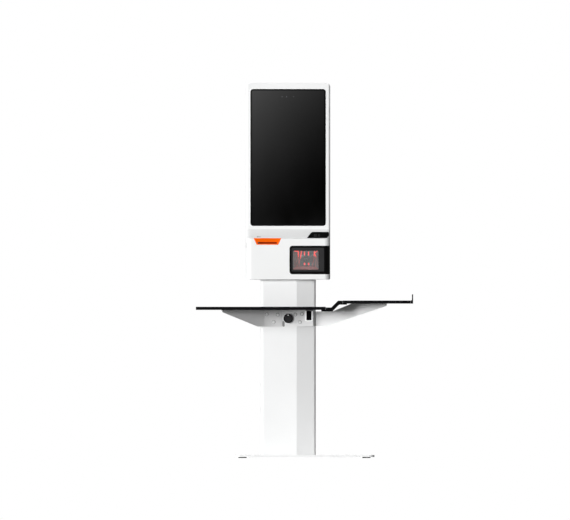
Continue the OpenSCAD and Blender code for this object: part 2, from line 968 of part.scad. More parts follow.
module shelf_bracket_right() {
    color(white)
        difference() {
            union() {
                intersection() {
                    prism_z(sheet(right_path, sheet_t), bracket_z - 1, tray_bottom + 1);
                    prism_y(right_front, wing_tip_y - lip_w, right_root.y + lip_w);
                }
                on_right_wing()
                    box(tray_lip_u, right_wing_len - lip_end, 0, lip_w, tray_bottom - sheet_t,
                        tray_bottom);
            }
            for (p = concat(right_screws, right_nut_screws))
                rod_y(p.x, p.y, bracket_screw_d + 2 * screw_clear, column_y - sheet_t - 1,
                    column_y + 1);
            at_tray_screws()
                rod_z(0, 0, shelf_screw_d + 2 * screw_clear, -1, sheet_t + 1);
            rod_y(column_x, knob_z, knob_shaft_d + 2 * run_clear, column_y - sheet_t - 1,
                column_y + 1);
            box(rocker_x - rocker_w / 2 - rocker_gap - rocker_box_wall - seam,
                rocker_x + rocker_w / 2 + rocker_gap + rocker_box_wall + seam,
                column_y - sheet_t - 1, column_y + 1,
                rocker_z - rocker_h / 2 - rocker_end_gap - rocker_box_wall - seam,
                rocker_z + rocker_h / 2 + rocker_end_gap + rocker_box_wall + seam);
        }
}

module bracket_screws() {
    color(steel) {
        for (p = concat(left_screws, right_screws, right_nut_screws))
            rod_y(p.x, p.y, bracket_head_d, column_y - sheet_t - bracket_head_h,
                column_y - sheet_t);
        for (p = concat(left_screws, right_screws))
            rod_y(p.x, p.y, bracket_screw_d, column_y - sheet_t - bracket_head_h / 2,
                column_y + column_wall + bracket_nut_h);
        for (p = right_nut_screws) {
            rod_y(p.x, p.y, bracket_screw_d, column_y - sheet_t - bracket_head_h / 2,
                column_y + bracket_nut_h);
            translate([p.x, column_y, p.y])
                rotate([-90, 0, 0])
                    cylinder(d = bracket_nut_d, h = bracket_nut_h - 1, $fn = 6);
        }
    }
}

// Boards, step and end stop
module shelf_board() {
    color(black)
        difference() {
            prism_z(rounded(rect(-shelf_w / 2, step_x, board_y0, board_y1),
                [board_r, 0, 0, board_r]), shelf_bottom, shelf_z);
            at_left_shelf_screws()
                rod_z(0, 0, shelf_screw_d + 2 * screw_clear, 0, shelf_screw_len + 1);
        }
}

module shelf_step() {
    color(black)
        prism_y([[step_x - ledge_w, step_low_bottom],
            [step_slant_x + step_under, step_low_bottom],
            [step_slant_x + step_under + step_high_bottom - step_low_bottom, step_high_bottom],
            [tray_x + ledge_w, step_high_bottom], [tray_x + ledge_w, tray_bottom],
            [tray_x, tray_bottom], [tray_x, step_high_top], [step_high_x, step_high_top],
            [step_slant_x, step_low_top], [step_x + seam, step_low_top],
            [step_x + seam, shelf_bottom], [step_x - ledge_w, shelf_bottom]],
            board_y0, board_y1);
}

module tray_board() {
    color(black)
        difference() {
            box(tray_x + seam, tray_end, board_y0, board_y1, tray_bottom, tray_top);
            at_tray_screws()
                rod_z(0, 0, shelf_screw_d + 2 * screw_clear, 0, shelf_screw_len + 1);
        }
}

module tray_end_stop() {
    stop_x = shelf_w / 2 - stop_foot_w;
    blade_x = shelf_w / 2 - stop_edge - stop_t;
    color(black)
        prism_y([[stop_x, tray_bottom], [shelf_w / 2, tray_bottom], [shelf_w / 2, tray_top],
            [blade_x + stop_t, tray_top + stop_foot_lip], [blade_x + stop_t, tray_top + stop_h],
            [blade_x, tray_top + stop_h], [blade_x, tray_top + stop_foot_lip],
            [stop_x, tray_top]], board_y0, board_y1);
}

module shelf_screw() {
    rod_z(0, 0, shelf_screw_head_d, -shelf_screw_head_h, 0);
    rod_z(0, 0, shelf_screw_d, -shelf_screw_head_h / 2, shelf_screw_len);
}

module shelf_screws() {
    color(steel) {
        at_left_shelf_screws()
            shelf_screw();
        at_tray_screws()
            shelf_screw();
    }
}

// Knob and rocker
module shelf_lock_knob() {
    color(black)
        translate([column_x, knob_y - seam, knob_z])
            rotate([90, 0, 0])
                rotate_extrude()
                    polygon([[0, 0], [knob_d / 2, 0], [knob_d / 2, knob_h - knob_edge],
                        [knob_d / 2 - knob_rim, knob_h], [knob_d / 2 - 2 * knob_rim, knob_h],
                        [knob_d / 2 - 2 * knob_rim - knob_dish, knob_h - knob_dish],
                        [0, knob_h - knob_dish]]);
}

module shelf_lock_shaft() {
    color(steel) {
        rod_y(column_x, knob_z, knob_shaft_d, knob_y - seam,
            column_y + column_wall + seam + pawl_t);
        box(column_x - pawl_w / 2, column_x + pawl_w / 2, column_y + column_wall + seam,
            column_y + column_wall + seam + pawl_t, knob_z - pawl_w / 2, knob_z + pawl_l);
    }
}

module rocker_frame() {
    half_w = rocker_w / 2 + rocker_gap;
    half_h = rocker_h / 2 + rocker_end_gap;
    color(white) {
        difference() {
            union() {
                prism_y(rounded(rect(rocker_x - half_w - rocker_rim, rocker_x + half_w + rocker_rim,
                    rocker_z - half_h - rocker_rim, rocker_z + half_h + rocker_top_rim),
                    four(rocker_frame_r)),
                    knob_y - rocker_rim_t, knob_y);
                box(rocker_x - half_w - rocker_box_wall, rocker_x + half_w + rocker_box_wall,
                    knob_y - 1, knob_y + rocker_box_d, rocker_z - half_h - rocker_box_wall,
                    rocker_z + half_h + rocker_box_wall);
            }
            box(rocker_x - half_w, rocker_x + half_w, knob_y - rocker_rim_t - 1,
                knob_y + rocker_box_d - rocker_box_wall, rocker_z - half_h, rocker_z + half_h);
        }
        rod_x(rocker_axis_y, rocker_z, rocker_pin_d, rocker_x - half_w - 1, rocker_x + half_w + 1);
    }
}

module rocker() {
    color(black)
        translate([rocker_x, rocker_axis_y, rocker_z])
            rotate([rocker_throw / 2, 0, 0])
                difference() {
                    prism_x(rounded([[-rocker_nose, rocker_h / 2], [rocker_dish - rocker_nose, 0],
                        [-rocker_nose, -rocker_h / 2], [0, 1 - rocker_h / 2], [rocker_tail, 0],
                        [0, rocker_h / 2 - 1]], [1, rocker_nose, 1, 2, rocker_pin_d, 2], 4),
                        -rocker_w / 2, rocker_w / 2);
                    rod_x(0, 0, rocker_pin_d + 2 * run_clear, -rocker_w, rocker_w);
                }
}

// Front frame, glass and display
module on_shoulder() {
    translate([0, nose_y, nose_z])
        rotate([slope_deg, 0, 0])
            children();
}

pad_outline = rounded([[pad_x0, pad_foot], [pad_x1, pad_foot], [pad_x1, pad_v1],
    [pad_x0 + pad_slant, pad_v1]], [pad_tip_r, pad_r, pad_r, pad_r]);

function glass_loop(d) = rounded(rect(column_x - glass_w / 2 + d, column_x + glass_w / 2 - d,
    glass_zc - glass_h / 2 + d, glass_zc + glass_h / 2 - d),
    four(max(glass_r - d, 1)));

function face_loop(d, front, back, r = edge_r) = rounded([[head_x0 + d, front], [head_x1 - d, front],
    [head_x1 - d, back], [head_x0 + d, back]], [r - d, r - d, 0, 0], 8);

function frame_loop(d) = rounded(rect(head_x0 + d, head_x1 - d, frame_z + d, head_top - d),
    [0, 0, head_r - d, head_r - d]);

module at_bosses() {
    for (sx = [-1, 1], z = boss_zs)
        translate([column_x + sx * boss_x, 0, z])
            children();
}

module front_frame() {
    color(white)
        difference() {
            union() {
                difference() {
                    union() {
                        intersection() {
                            prism_y(frame_loop(0), screen_y, frame_back);
                            prism_z(face_loop(0, screen_y, frame_back + 1),
                                shoulder_top, head_top + 1);
                        }
                        hull() {
                            prism_z(face_loop(0, nose_y, frame_back), frame_z, nose_z);
                            prism_z(face_loop(0, screen_y, frame_back), shoulder_top,
                                shoulder_top + 1);
                        }
                    }
                    intersection() {
                        prism_y(frame_loop(wall), screen_y + front_t, frame_back + 1);
                        prism_z(face_loop(wall, screen_y + wall, frame_back + 2),
                            frame_z - 1, head_top + 1);
                    }
                    prism_x([[slope_y(frame_z + wall), frame_z + wall],
                        [screen_y + front_t + 1, frame_z + wall],
                        [screen_y + front_t + 1, shoulder_top - wall],
                        [slope_y(shoulder_top - wall), shoulder_top - wall]],
                        head_x0 + edge_r, head_x1 - edge_r);
                }
                at_bosses()
                    rod_y(0, 0, boss_d, screen_y + front_t - 1, chassis_y);
            }
            prism_y(glass_loop(-seam), screen_y - 1, glass_back + tape_t);
            prism_y(glass_loop(ledge_in), screen_y, screen_y + front_t + 1);
            on_shoulder()
                prism_z(inset(pad_outline, -seam), -pad_sink, 10);
            at_bosses()
                rod_y(0, 0, boss_hole_d, screen_y + front_t + 1, chassis_y + 1);
        }
}

module glass_tape() {
    color(black)
        difference() {
            prism_y(glass_loop(1), glass_back, glass_back + tape_t);
            prism_y(glass_loop(ledge_in), glass_back - 1, glass_back + tape_t + 1);
        }
}

module cover_glass() {
    color(black)
        prism_y(glass_loop(0), glass_y, glass_back);
}

module display_panel() {
    color(dark)
        box(column_x - panel_w / 2, column_x + panel_w / 2, glass_back, chassis_y,
            panel_z, panel_z + panel_h);
}

module at_posts() {
    for (sx = [-1, 1], z = post_zs)
        translate([column_x + sx * post_x, 0, z])
            children();
}

module at_standoffs() {
    for (sx = [-1, 1], sz = [-1, 1])
        translate([column_x + sx * (main_w / 2 - standoff_in), 0,
            main_z + sz * (main_h / 2 - standoff_in)])
            children();
}

module display_chassis() {
    back = slab_back - shell_wall;
    color(steel)
        difference() {
            union() {
                box(column_x - glass_w / 2 - chassis_lap, column_x + glass_w / 2 + chassis_lap,
                    chassis_y, chassis_y + chassis_t, shoulder_top - chassis_foot,
                    head_top - chassis_head);
                at_posts()
                    rod_y(0, 0, post_d, chassis_y + chassis_t / 2, back);
                at_standoffs()
                    rod_y(0, 0, standoff_d, chassis_y + chassis_t / 2,
                        chassis_y + chassis_t + standoff_h);
            }
            at_posts()
                rod_y(0, 0, shell_screw_d + 2 * screw_clear, back - shell_screw_len, back + 1);
            at_bosses()
                rod_y(0, 0, chassis_hole_d, chassis_y - 1, chassis_y + chassis_t + 1);
        }
}

module main_board() {
    y0 = chassis_y + chassis_t + standoff_h;
    color(board_green)
        box(column_x - main_w / 2, column_x + main_w / 2, y0, y0 + main_t,
            main_z - main_h / 2, main_z + main_h / 2);
    color(steel)
        box(column_x - cooler_w / 2, column_x + cooler_w / 2, y0 + main_t / 2,
            y0 + main_t + cooler_h, main_z, main_z + cooler_w);
    color(dark)
        box(column_x - ports_w / 2, column_x + ports_w / 2, y0 + main_t / 2, y0 + main_t + ports_h,
            main_z - main_h / 2 - 2, main_z - main_h / 2 + ports_d);
}

module camera_module() {
    color(dark)
        box(column_x - camera_w / 2, column_x + camera_w / 2, glass_back, glass_back + camera_t,
            panel_z + panel_h + camera_gap, panel_z + panel_h + camera_gap + camera_h);
}

module contactless_pad() {
    color(black)
        intersection() {
            on_shoulder()
                intersection() {
                    prism_z(pad_outline, -pad_sink, pad_proud);
                    prism_y(rounded(rect(head_x0, head_x1 + pad_proud, -slope_len, pad_proud),
                        [0, 0, edge_r + pad_proud, 0], 8), pad_foot, slope_len);
                }
            box(head_x0, head_x1, 0, frame_back, frame_z + seam, shoulder_top);
        }
}

module contactless_antenna() {
    color(board_green)
        on_shoulder()
            box(pad_x0 + pad_slant, pad_x1 - antenna_in, antenna_in + 2, pad_v1,
                -shoulder_wall - main_t - run_clear, -shoulder_wall - run_clear);
}

// Rear shell and what is fixed to it
function shell_side(d, front) = [[front, head_z + d], [box_back - d, head_z + d],
    [box_back - d, shell_slope_z0 - d / 3], [slab_back - d, shell_slope_z1 - d / 3],
    [slab_back - d, head_top - d]];

module shell_form(d, front_low, front_high, z_split) {
    intersection() {
        prism_x(concat(shell_side(d, front_low), [[front_high, head_top - d],
            [front_high, z_split], [front_low, z_split]]), head_x0 + d, head_x1 - d);
        prism_y(rounded(rect(head_x0 + d, head_x1 - d, head_z + d, head_top - d),
            [bottom_r, bottom_r, head_r - d, head_r - d]), chin_y, box_back + 1);
    }
}

module ear() {
    prism_x(concat(arc([hinge_y, hinge_z], ear_r, 90, 270, 10),
        [[shell_y + 1, hinge_z - ear_r], [shell_y + 1, head_z + 1],
        [shell_y + ear_root, head_z + 1], [shell_y + ear_root, hinge_z + ear_r]]),
        ear_x0, ear_x1);
}

module rear_shell() {
    color(white)
        difference() {
            union() {
                difference() {
                    shell_form(0, shell_y, frame_back + seam, frame_z - seam);
                    shell_form(shell_wall, shell_y - open_cut, frame_back - open_cut,
                        frame_z + open_cut);
                }
                both_ends()
                    ear();
            }
            both_ends()
                rod_x(hinge_y, hinge_z, pin_d + pin_seat, ear_x0 - 1, ear_x1 + 1);
            rod_x(lock_y, lock_z, lock_d + 2 * screw_clear, head_x0 - 1, head_x0 + shell_wall + 1);
            for (p = mount_at)
                rod_z(p.x, p.y, mount_bolt_d + 2 * screw_clear, head_z - 1, head_z + shell_wall + 1);
            rod_z(column_x, cable_hole_y, cable_hole_d, head_z - 1, head_z + shell_wall + 1);
            at_posts()
                rod_y(0, 0, shell_screw_d + 2 * screw_clear, slab_back - shell_wall - 1,
                    slab_back + 1);
            box(column_x - vent_w / 2 - seam, column_x + vent_w / 2 + seam,
                slab_back - shell_wall - 1, slab_back + 1, vent_z - seam, vent_z + vent_h + seam);
        }
}

module vent_grille() {
    count = floor((vent_w - 2 * vent_rim) / vent_pitch);
    color(dark)
        difference() {
            box(column_x - vent_w / 2, column_x + vent_w / 2, slab_back - shell_wall,
                slab_back - vent_sink, vent_z, vent_z + vent_h);
            for (i = [0 : count - 1])
                translate([column_x + (i - (count - 1) / 2) * vent_pitch, 0, 0])
                    box(-vent_slot / 2, vent_slot / 2, slab_back - shell_wall - 1, slab_back + 1,
                        vent_z + vent_rim, vent_z + vent_h - vent_rim);
        }
}

module shell_screws() {
    color(steel)
        at_posts() {
            rod_y(0, 0, shell_screw_head_d, slab_back, slab_back + shell_screw_head_h);
            rod_y(0, 0, shell_screw_d, slab_back - shell_screw_len + 1,
                slab_back + shell_screw_head_h / 2);
        }
}

module lower_chassis() {
    floor_z = head_z + shell_wall;
    back = box_back - shell_wall;
    color(steel)
        difference() {
            union() {
                box(column_x - tray_half, column_x + tray_half, shell_y + tray_front, back,
                    floor_z, floor_z + tray_t);
                box(column_x - tray_half, column_x + tray_half, back - tray_t, back,
                    floor_z, printer_z + tray_back_h);
                for (sx = [-1, 1])
                    translate([printer_x + sx * (cradle_in + cradle_t / 2), 0, 0])
                        box(-cradle_t / 2, cradle_t / 2, roll_y - cradle_half,
                            roll_y + cradle_half, floor_z + tray_t / 2, roll_z + cradle_half);
            }
            for (p = mount_at)
                rod_z(p.x, p.y, mount_bolt_d + 2 * screw_clear, floor_z - 1, floor_z + tray_t + 1);
            rod_z(column_x, cable_hole_y, cable_hole_d, floor_z - 1, floor_z + tray_t + 1);
            rod_x(roll_y, roll_z, spindle_d + 2 * run_clear, printer_x - cradle_in - 2 * cradle_t,
                printer_x + cradle_in + 2 * cradle_t);
        }
}

// Door, hinge and lock
module hinge_pins() {
    color(steel)
        both_ends()
            rod_x(hinge_y, hinge_z, pin_d, ear_x0, ear_x1 + ear_gap + knuckle_l - 1);
}

module lock_body() {
    color(steel)
        difference() {
            union() {
                rod_x(lock_y, lock_z, lock_flange_d, head_x0 - lock_flange_t, head_x0);
                rod_x(lock_y, lock_z, lock_d, head_x0 - lock_flange_t / 2, head_x0 + lock_l);
                translate([head_x0 + shell_wall, lock_y, lock_z])
                    rotate([0, 90, 0])
                        cylinder(d = lock_nut_d, h = lock_nut_h, $fn = 6);
            }
            rod_x(lock_y, lock_z, plug_d + 2 * run_clear, head_x0 - 2 * lock_flange_t,
                head_x0 + lock_l + 1);
        }
}

module lock_cylinder() {
    color(pale)
        difference() {
            union() {
                rod_x(lock_y, lock_z, plug_d, head_x0 - lock_flange_t, cam_x + cam_t);
                prism_x(rounded(rect(lock_y - cam_l, lock_y + cam_w / 2, lock_z - cam_w / 2,
                    lock_z + cam_w / 2), four(cam_t)), cam_x, cam_x + cam_t);
            }
            box(head_x0 - 2 * lock_flange_t, head_x0 + key_d, lock_y - key_w / 2, lock_y + key_w / 2,
                lock_z - key_h / 2, lock_z + key_h / 2);
        }
}

module bezel_cut(d) {
    prism_y(rounded(rect(bezel_x0 - d, head_x1 + bezel_r, bezel_z0 - d, bezel_z1 + d),
        [bezel_r, 0, 0, bezel_r]), chin_y - 1, door_back + 1);
}

function outlet_loop(d) = [[printer_x - outlet_low_w / 2 - d, outlet_z - d],
    [printer_x + outlet_low_w / 2 + d, outlet_z - d],
    [printer_x + outlet_top_w / 2 + d, door_top + 2 * d],
    [printer_x - outlet_top_w / 2 - d, door_top + 2 * d]];

module service_door() {
    color(white)
        difference() {
            union() {
                difference() {
                    intersection() {
                        prism_x(rounded(rect(chin_y, door_back, head_z, door_top),
                            [chin_r, hinge_r, 0, brow_r], 8), head_x0, head_x1);
                        prism_y(rounded(rect(head_x0, head_x1, head_z, door_top),
                            [bottom_r, bottom_r, 0, 0]), chin_y - 1, door_back + 1);
                        prism_z(face_loop(0, chin_y, door_back + 1, chin_edge_r), head_z - 1, door_top + 1);
                    }
                    intersection() {
                        prism_x(rounded(rect(chin_y + wall, door_back + wall, head_z + wall,
                            door_top - wall), [chin_r - wall, 0, 0, brow_r - wall]),
                            head_x0 + wall, head_x1 - wall);
                        prism_z(face_loop(wall, chin_y + wall, door_back + 2 * wall, chin_edge_r),
                            head_z, door_top);
                    }
                }
                both_ends()
                    rod_x(hinge_y, hinge_z, 2 * knuckle_r, head_w / 2 - wall - knuckle_l,
                        head_w / 2 - wall / 2);
            }
            bezel_cut(seam);
            prism_y(outlet_loop(seam), chin_y - 1, chin_y + outlet_d + seam);
            both_ends()
                rod_x(hinge_y, hinge_z, pin_d + 2 * run_clear, head_w / 2 - wall - knuckle_l - 1,
                    head_w / 2 - wall);
            both_ends()
                box(ear_x0 - 1, ear_x1 + ear_gap, hinge_y - hinge_r, door_back + 1,
                    head_z - 1, hinge_z + hinge_r);
        }
}

module door_catch() {
    arm_x = cam_x - 1 - catch_t;
    color(steel) {
        box(arm_x, arm_x + catch_t, chin_y + wall, catch_lip_y + catch_t,
            catch_z0, catch_z0 + catch_h);
        box(arm_x, cam_x + cam_t + 2, catch_lip_y, catch_lip_y + catch_t,
            catch_z0, catch_z0 + catch_h);
        box(arm_x, arm_x + catch_foot, chin_y + wall, chin_y + wall + catch_t,
            catch_z0, catch_z0 + catch_h);
    }
}

// Receipt outlet
module paper_outlet() {
    back = chin_y + outlet_d;
    color([0.95, 0.4, 0.05])
        difference() {
            union() {
                prism_y(outlet_loop(0), chin_y, back);
                box(printer_x - slot_w / 2 - chute_wall, printer_x + slot_w / 2 + chute_wall,
                    back - 1, door_back - 1, slot_z - chute_wall, slot_z + slot_h + chute_wall);
            }
            hull() {
                prism_y([[printer_x - outlet_low_w / 2 + outlet_lip, outlet_z + outlet_lip],
                    [printer_x + outlet_low_w / 2 - outlet_lip, outlet_z + outlet_lip],
                    [printer_x + outlet_top_w / 2 - outlet_lip, door_top - outlet_lip],
                    [printer_x - outlet_top_w / 2 + outlet_lip, door_top - outlet_lip]],
                    chin_y - 1, chin_y + 0.5);
                box(printer_x - slot_w / 2, printer_x + slot_w / 2, back - 2, back,
                    slot_z, slot_z + slot_h);
            }
            box(printer_x - slot_w / 2, printer_x + slot_w / 2, back - 1, door_back,
                slot_z, slot_z + slot_h);
        }
}

module tear_bar() {
    count = floor(slot_w / bar_pitch) - 1;
    x0 = printer_x - count * bar_pitch / 2;
    y1 = chin_y + outlet_d - 1;
    color(steel)
        prism_z(concat([[x0 + count * bar_pitch, y1], [x0, y1]],
            [for (i = [0 : count - 1]) each [[x0 + i * bar_pitch, y1 - bar_d],
                [x0 + (i + 0.5) * bar_pitch, y1 - bar_d - bar_tooth]]],
            [[x0 + count * bar_pitch, y1 - bar_d]]), slot_z + run_clear, slot_z + run_clear + bar_t);
}

// Scanner
module scanner_bezel() {
    color(black)
        difference() {
            intersection() {
                prism_z(rounded([[bezel_x0 - 1, chin_y], [head_x1, chin_y],
                    [head_x1, door_back], [head_x1 - bezel_t, door_back],
                    [head_x1 - bezel_t, chin_y + bezel_t], [bezel_x0 - 1, chin_y + bezel_t]],
                    [0, chin_edge_r, 0, 0, chin_edge_r - bezel_t, 0], 8), bezel_z0, bezel_z1);
                bezel_cut(0);
            }
            prism_y(rounded(rect(window_x0 - seam, window_x0 + window_w + seam, window_z0 - seam,
                window_z0 + window_h + seam), four(window_r)),
                chin_y - 1, chin_y + window_t + seam);
            box(mouth_x - mouth_w / 2, mouth_x + mouth_w / 2, chin_y, chamber_y + 1,
                mouth_z - mouth_h / 2, mouth_z + mouth_h / 2);
        }
}

module scanner_window() {
    color([0.3, 0.3, 0.33])
        prism_y(rounded(rect(window_x0, window_x0 + window_w, window_z0, window_z0 + window_h),
            four(window_r - seam)), chin_y + seam, chin_y + seam + window_t);
}

function mouth_loop(w, h) = rect(mouth_x - w / 2, mouth_x + w / 2, mouth_z - h / 2, mouth_z + h / 2);

module scanner_chamber() {
    back = chamber_y + chamber_d;
    color([0.45, 0.46, 0.48])
        difference() {
            union() {
                hull() {
                    prism_y(mouth_loop(mouth_w + 2 * chamber_wall, mouth_h + 2 * chamber_wall),
                        chamber_y, chamber_y + 1);
                    prism_y(mouth_loop(chamber_back_w + 2 * chamber_wall,
                        chamber_back_h + 2 * chamber_wall), back + chamber_wall - 1,
                        back + chamber_wall);
                }
                prism_y(mouth_loop(mouth_w + 2 * chamber_rim, mouth_h + 2 * chamber_rim), chamber_y,
                    chamber_y + chamber_rim_t);
            }
            hull() {
                prism_y(mouth_loop(mouth_w, mouth_h), chamber_y - 1, chamber_y);
                prism_y(mouth_loop(chamber_back_w, chamber_back_h), back - 1, back);
            }
            prism_y(rect(mouth_x - lens_d / 2 - 1, mouth_x + lens_d / 2 + 1,
                mouth_z - lens_d / 2 - 1, mouth_z + lens_d / 2 + 1), back - 2, back + 4);
        }
}

module scan_engine() {
    back = chamber_y + chamber_d + chamber_wall;
    color(dark) {
        box(mouth_x - engine_w / 2, mouth_x + engine_w / 2, back, back + engine_d,
            mouth_z - engine_h / 2, mouth_z + engine_h / 2);
        rod_y(mouth_x, mouth_z, lens_d, back - lens_in, back + 1);
    }
}

module scanner_lamps() {
    back = chamber_y + chamber_d;
    color([0.85, 0.05, 0.08]) {
        for (x = [lamp_x, lamp_x + lamp_pitch]) {
            rod_y(mouth_x + x, mouth_z + lamp_z, lamp_d, back - lamp_t, back);
            box(mouth_x + x - bar_w / 2, mouth_x + x + bar_w / 2, back - lamp_t, back,
                mouth_z + bar_z, mouth_z + bar_z + bar_h);
        }
        for (x = [-side_bar_x, side_bar_x])
            box(mouth_x + x - bar_w / 2, mouth_x + x + bar_w / 2, back - lamp_t, back,
                mouth_z + side_bar_z, mouth_z + side_bar_z + side_bar_h);
    }
}

// Receipt printer
module printer_frame() {
    color(dark)
        difference() {
            union() {
                box(printer_x - side_in - plate_t, printer_x + side_in + plate_t, printer_y,
                    box_back - shell_wall - tray_t, printer_z, printer_z + plate_t);
                for (sx = [-1, 1])
                    translate([printer_x + sx * (side_in + plate_t / 2), 0, 0])
                        box(-plate_t / 2, plate_t / 2, printer_y, printer_y + side_d, printer_z,
                            slot_z + side_rise);
                box(button_x - switch_w / 2, button_x + switch_w / 2, printer_y,
                    printer_y + switch_d, printer_z + plate_t / 2, printer_z + plate_t + switch_h);
            }
            rod_x(platen_y, platen_z, platen_shaft_d + 2 * run_clear,
                printer_x - side_in - 2 * plate_t, printer_x + side_in + 2 * plate_t);
            rod_x(platen_y + gear_axis, platen_z, motor_shaft_d + 1, printer_x,
                printer_x + side_in + 2 * plate_t);
            rod_y(button_x, button_z, button_d + 2 * seam, printer_y - 1,
                printer_y + switch_d - switch_floor);
            box(printer_x - slot_w / 2, printer_x + slot_w / 2, web_y - slot_h / 2,
                web_y + slot_h / 2, printer_z - 1, printer_z + plate_t + 1);
        }
}

module platen_roller() {
    color(black) {
        rod_x(platen_y, platen_z, platen_d, printer_x - platen_half, printer_x + platen_half);
        rod_x(platen_y, platen_z, platen_shaft_d, printer_x - side_in - plate_t - shaft_end,
            gear_x + gear_t + shaft_end);
    }
}

module platen_gear() {
    color(pale)
        difference() {
            translate([0, platen_y, platen_z])
                prism_x(gear(gear_m, platen_teeth, 0), gear_x, gear_x + gear_t);
            rod_x(platen_y, platen_z, platen_shaft_d + pin_seat, gear_x - 1, gear_x + gear_t + 1);
        }
}

module motor_pinion() {
    color([0.75, 0.6, 0.25]) {
        translate([0, platen_y + gear_axis, platen_z])
            prism_x(gear(gear_m, pinion_teeth, 180 + 180 / pinion_teeth), gear_x, gear_x + gear_t);
        rod_x(platen_y + gear_axis, platen_z, motor_shaft_d, printer_x + side_in - shaft_seat,
            gear_x + 1);
    }
}

module feed_motor() {
    color(steel)
        difference() {
            rod_x(platen_y + gear_axis, platen_z, motor_d, printer_x + side_in - motor_l,
                printer_x + side_in);
            rod_x(platen_y + gear_axis, platen_z, motor_shaft_d + 2 * run_clear,
                printer_x + side_in - shaft_seat - 1, printer_x + side_in + 1);
        }
}

module thermal_head() {
    y0 = platen_y + platen_d / 2 + head_gap;
    color(steel)
        box(printer_x - side_in, printer_x + side_in, y0, y0 + head_plate_t,
            platen_z - head_low, platen_z + head_high);
}

module paper_roll() {
    color([0.97, 0.97, 0.95])
        difference() {
            rod_x(roll_y, roll_z, roll_d, printer_x - roll_w / 2, printer_x + roll_w / 2);
            rod_x(roll_y, roll_z, core_d, printer_x - roll_w, printer_x + roll_w);
        }
}

module roll_spindle() {
    color(dark)
        rod_x(roll_y, roll_z, spindle_d, printer_x - cradle_in - spindle_end,
            printer_x + cradle_in + spindle_end);
}

module feed_button() {
    color([0.2, 0.45, 0.7])
        rod_y(button_x, button_z, button_d, printer_y - button_reach,
            printer_y - button_reach + button_l);
}

base_plate();
foot_front_left();
foot_front_right();
foot_rear_left();
foot_rear_right();
column_shell();
column_rear_cover();
rear_cover_screws();
column_base_flange();
base_bolts();
head_mount_plate();
head_mount_bolts();
power_supply();
power_inlet();
shelf_bracket_left();
shelf_bracket_right();
bracket_screws();
shelf_board();
shelf_step();
tray_board();
tray_end_stop();
shelf_screws();
shelf_lock_knob();
shelf_lock_shaft();
rocker_frame();
rocker();
front_frame();
glass_tape();
cover_glass();
display_panel();
display_chassis();
main_board();
camera_module();
contactless_pad();
contactless_antenna();
rear_shell();
vent_grille();
shell_screws();
lower_chassis();
hinge_pins();
lock_body();
lock_cylinder();
service_door();
door_catch();
paper_outlet();
tear_bar();
scanner_bezel();
scanner_window();
scanner_chamber();
scan_engine();
scanner_lamps();
printer_frame();
platen_roller();
platen_gear();
motor_pinion();
feed_motor();
thermal_head();
paper_roll();
roll_spindle();
feed_button();
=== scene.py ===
import json
import math

import bmesh
import bpy
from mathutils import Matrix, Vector
from mathutils.bvhtree import BVHTree

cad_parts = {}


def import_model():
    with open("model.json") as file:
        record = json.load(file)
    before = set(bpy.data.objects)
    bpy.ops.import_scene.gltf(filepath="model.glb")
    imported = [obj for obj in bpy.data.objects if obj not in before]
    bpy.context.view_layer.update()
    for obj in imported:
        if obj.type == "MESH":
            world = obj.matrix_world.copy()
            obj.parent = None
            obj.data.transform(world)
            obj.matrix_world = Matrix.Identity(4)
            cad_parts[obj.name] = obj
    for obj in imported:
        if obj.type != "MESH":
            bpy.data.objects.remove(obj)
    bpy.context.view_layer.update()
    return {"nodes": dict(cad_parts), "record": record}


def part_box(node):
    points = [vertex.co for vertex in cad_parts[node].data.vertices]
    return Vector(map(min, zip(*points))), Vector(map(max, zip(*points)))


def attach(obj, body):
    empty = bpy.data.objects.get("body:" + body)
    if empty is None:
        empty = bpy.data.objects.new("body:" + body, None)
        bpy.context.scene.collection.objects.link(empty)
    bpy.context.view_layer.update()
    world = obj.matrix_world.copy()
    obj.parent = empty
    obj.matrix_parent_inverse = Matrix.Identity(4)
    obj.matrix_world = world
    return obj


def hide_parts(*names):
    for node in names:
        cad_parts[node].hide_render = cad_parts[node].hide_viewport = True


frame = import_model()

# Looks of a floor-standing self-service kiosk. Lengths are in metres, in the frame of the solids.

MM = 0.001
NODES = frame["nodes"]
RECORD = frame["record"]
BODY = {n: body for body, names in RECORD["behaviour"]["bodies"].items() for n in names}
SLOT = {part["node"]: part["material_slot"] for part in RECORD["subparts"]}
WHITE = (1.0, 1.0, 1.0)
FRONT = (0, -1, 0)

# How textures lie: an even stretch, and the grain of smooth surfaces
EVEN = (1.0, 1.0, 1.0)
FINE = 0.5 * MM

# Angles: of a sharp edge, of a fold that shading keeps, and of faces that count as one flat face
SHARP = math.radians(28)
FOLD = math.radians(34)
FLAT = math.radians(0.4)

# Small lengths: points this near are one, a cut overlooks this, a turned body closes at this radius
WELD = 0.02 * MM
CUT_SLACK = 0.01 * MM
TIP = 0.02 * MM

# Places that several pieces share: glass, head, sloped shoulder, and the column's crease
GLASS_LOW, GLASS_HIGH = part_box("cover_glass")
GLASS_R = 12 * MM
HEAD_LOW, HEAD_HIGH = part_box("front_frame")
NOSE_Y = HEAD_LOW.y
NOSE_Z = 957.2 * MM
SHOULDER_TOP = 994 * MM
SCREEN_Y = 39 * MM
EDGE_R = 9 * MM
CHIN_EDGE_R = 25 * MM
COLUMN_CREASE = -34 * MM

# The rocker's well: its half width, foot and top; and the height of the bracket screws' heads
ROCKER_WELL = (11.1 * MM, 598.3 * MM, 639.1 * MM)
BRACKET_HEAD_H = 3 * MM

# Sensor windows in the glass: place across and width of each in millimetres, and their height
SENSORS = ((-96.5, 5.0), (-77.3, 6.5), (-47.4, 4.0))
SENSOR_Z = 1570 * MM

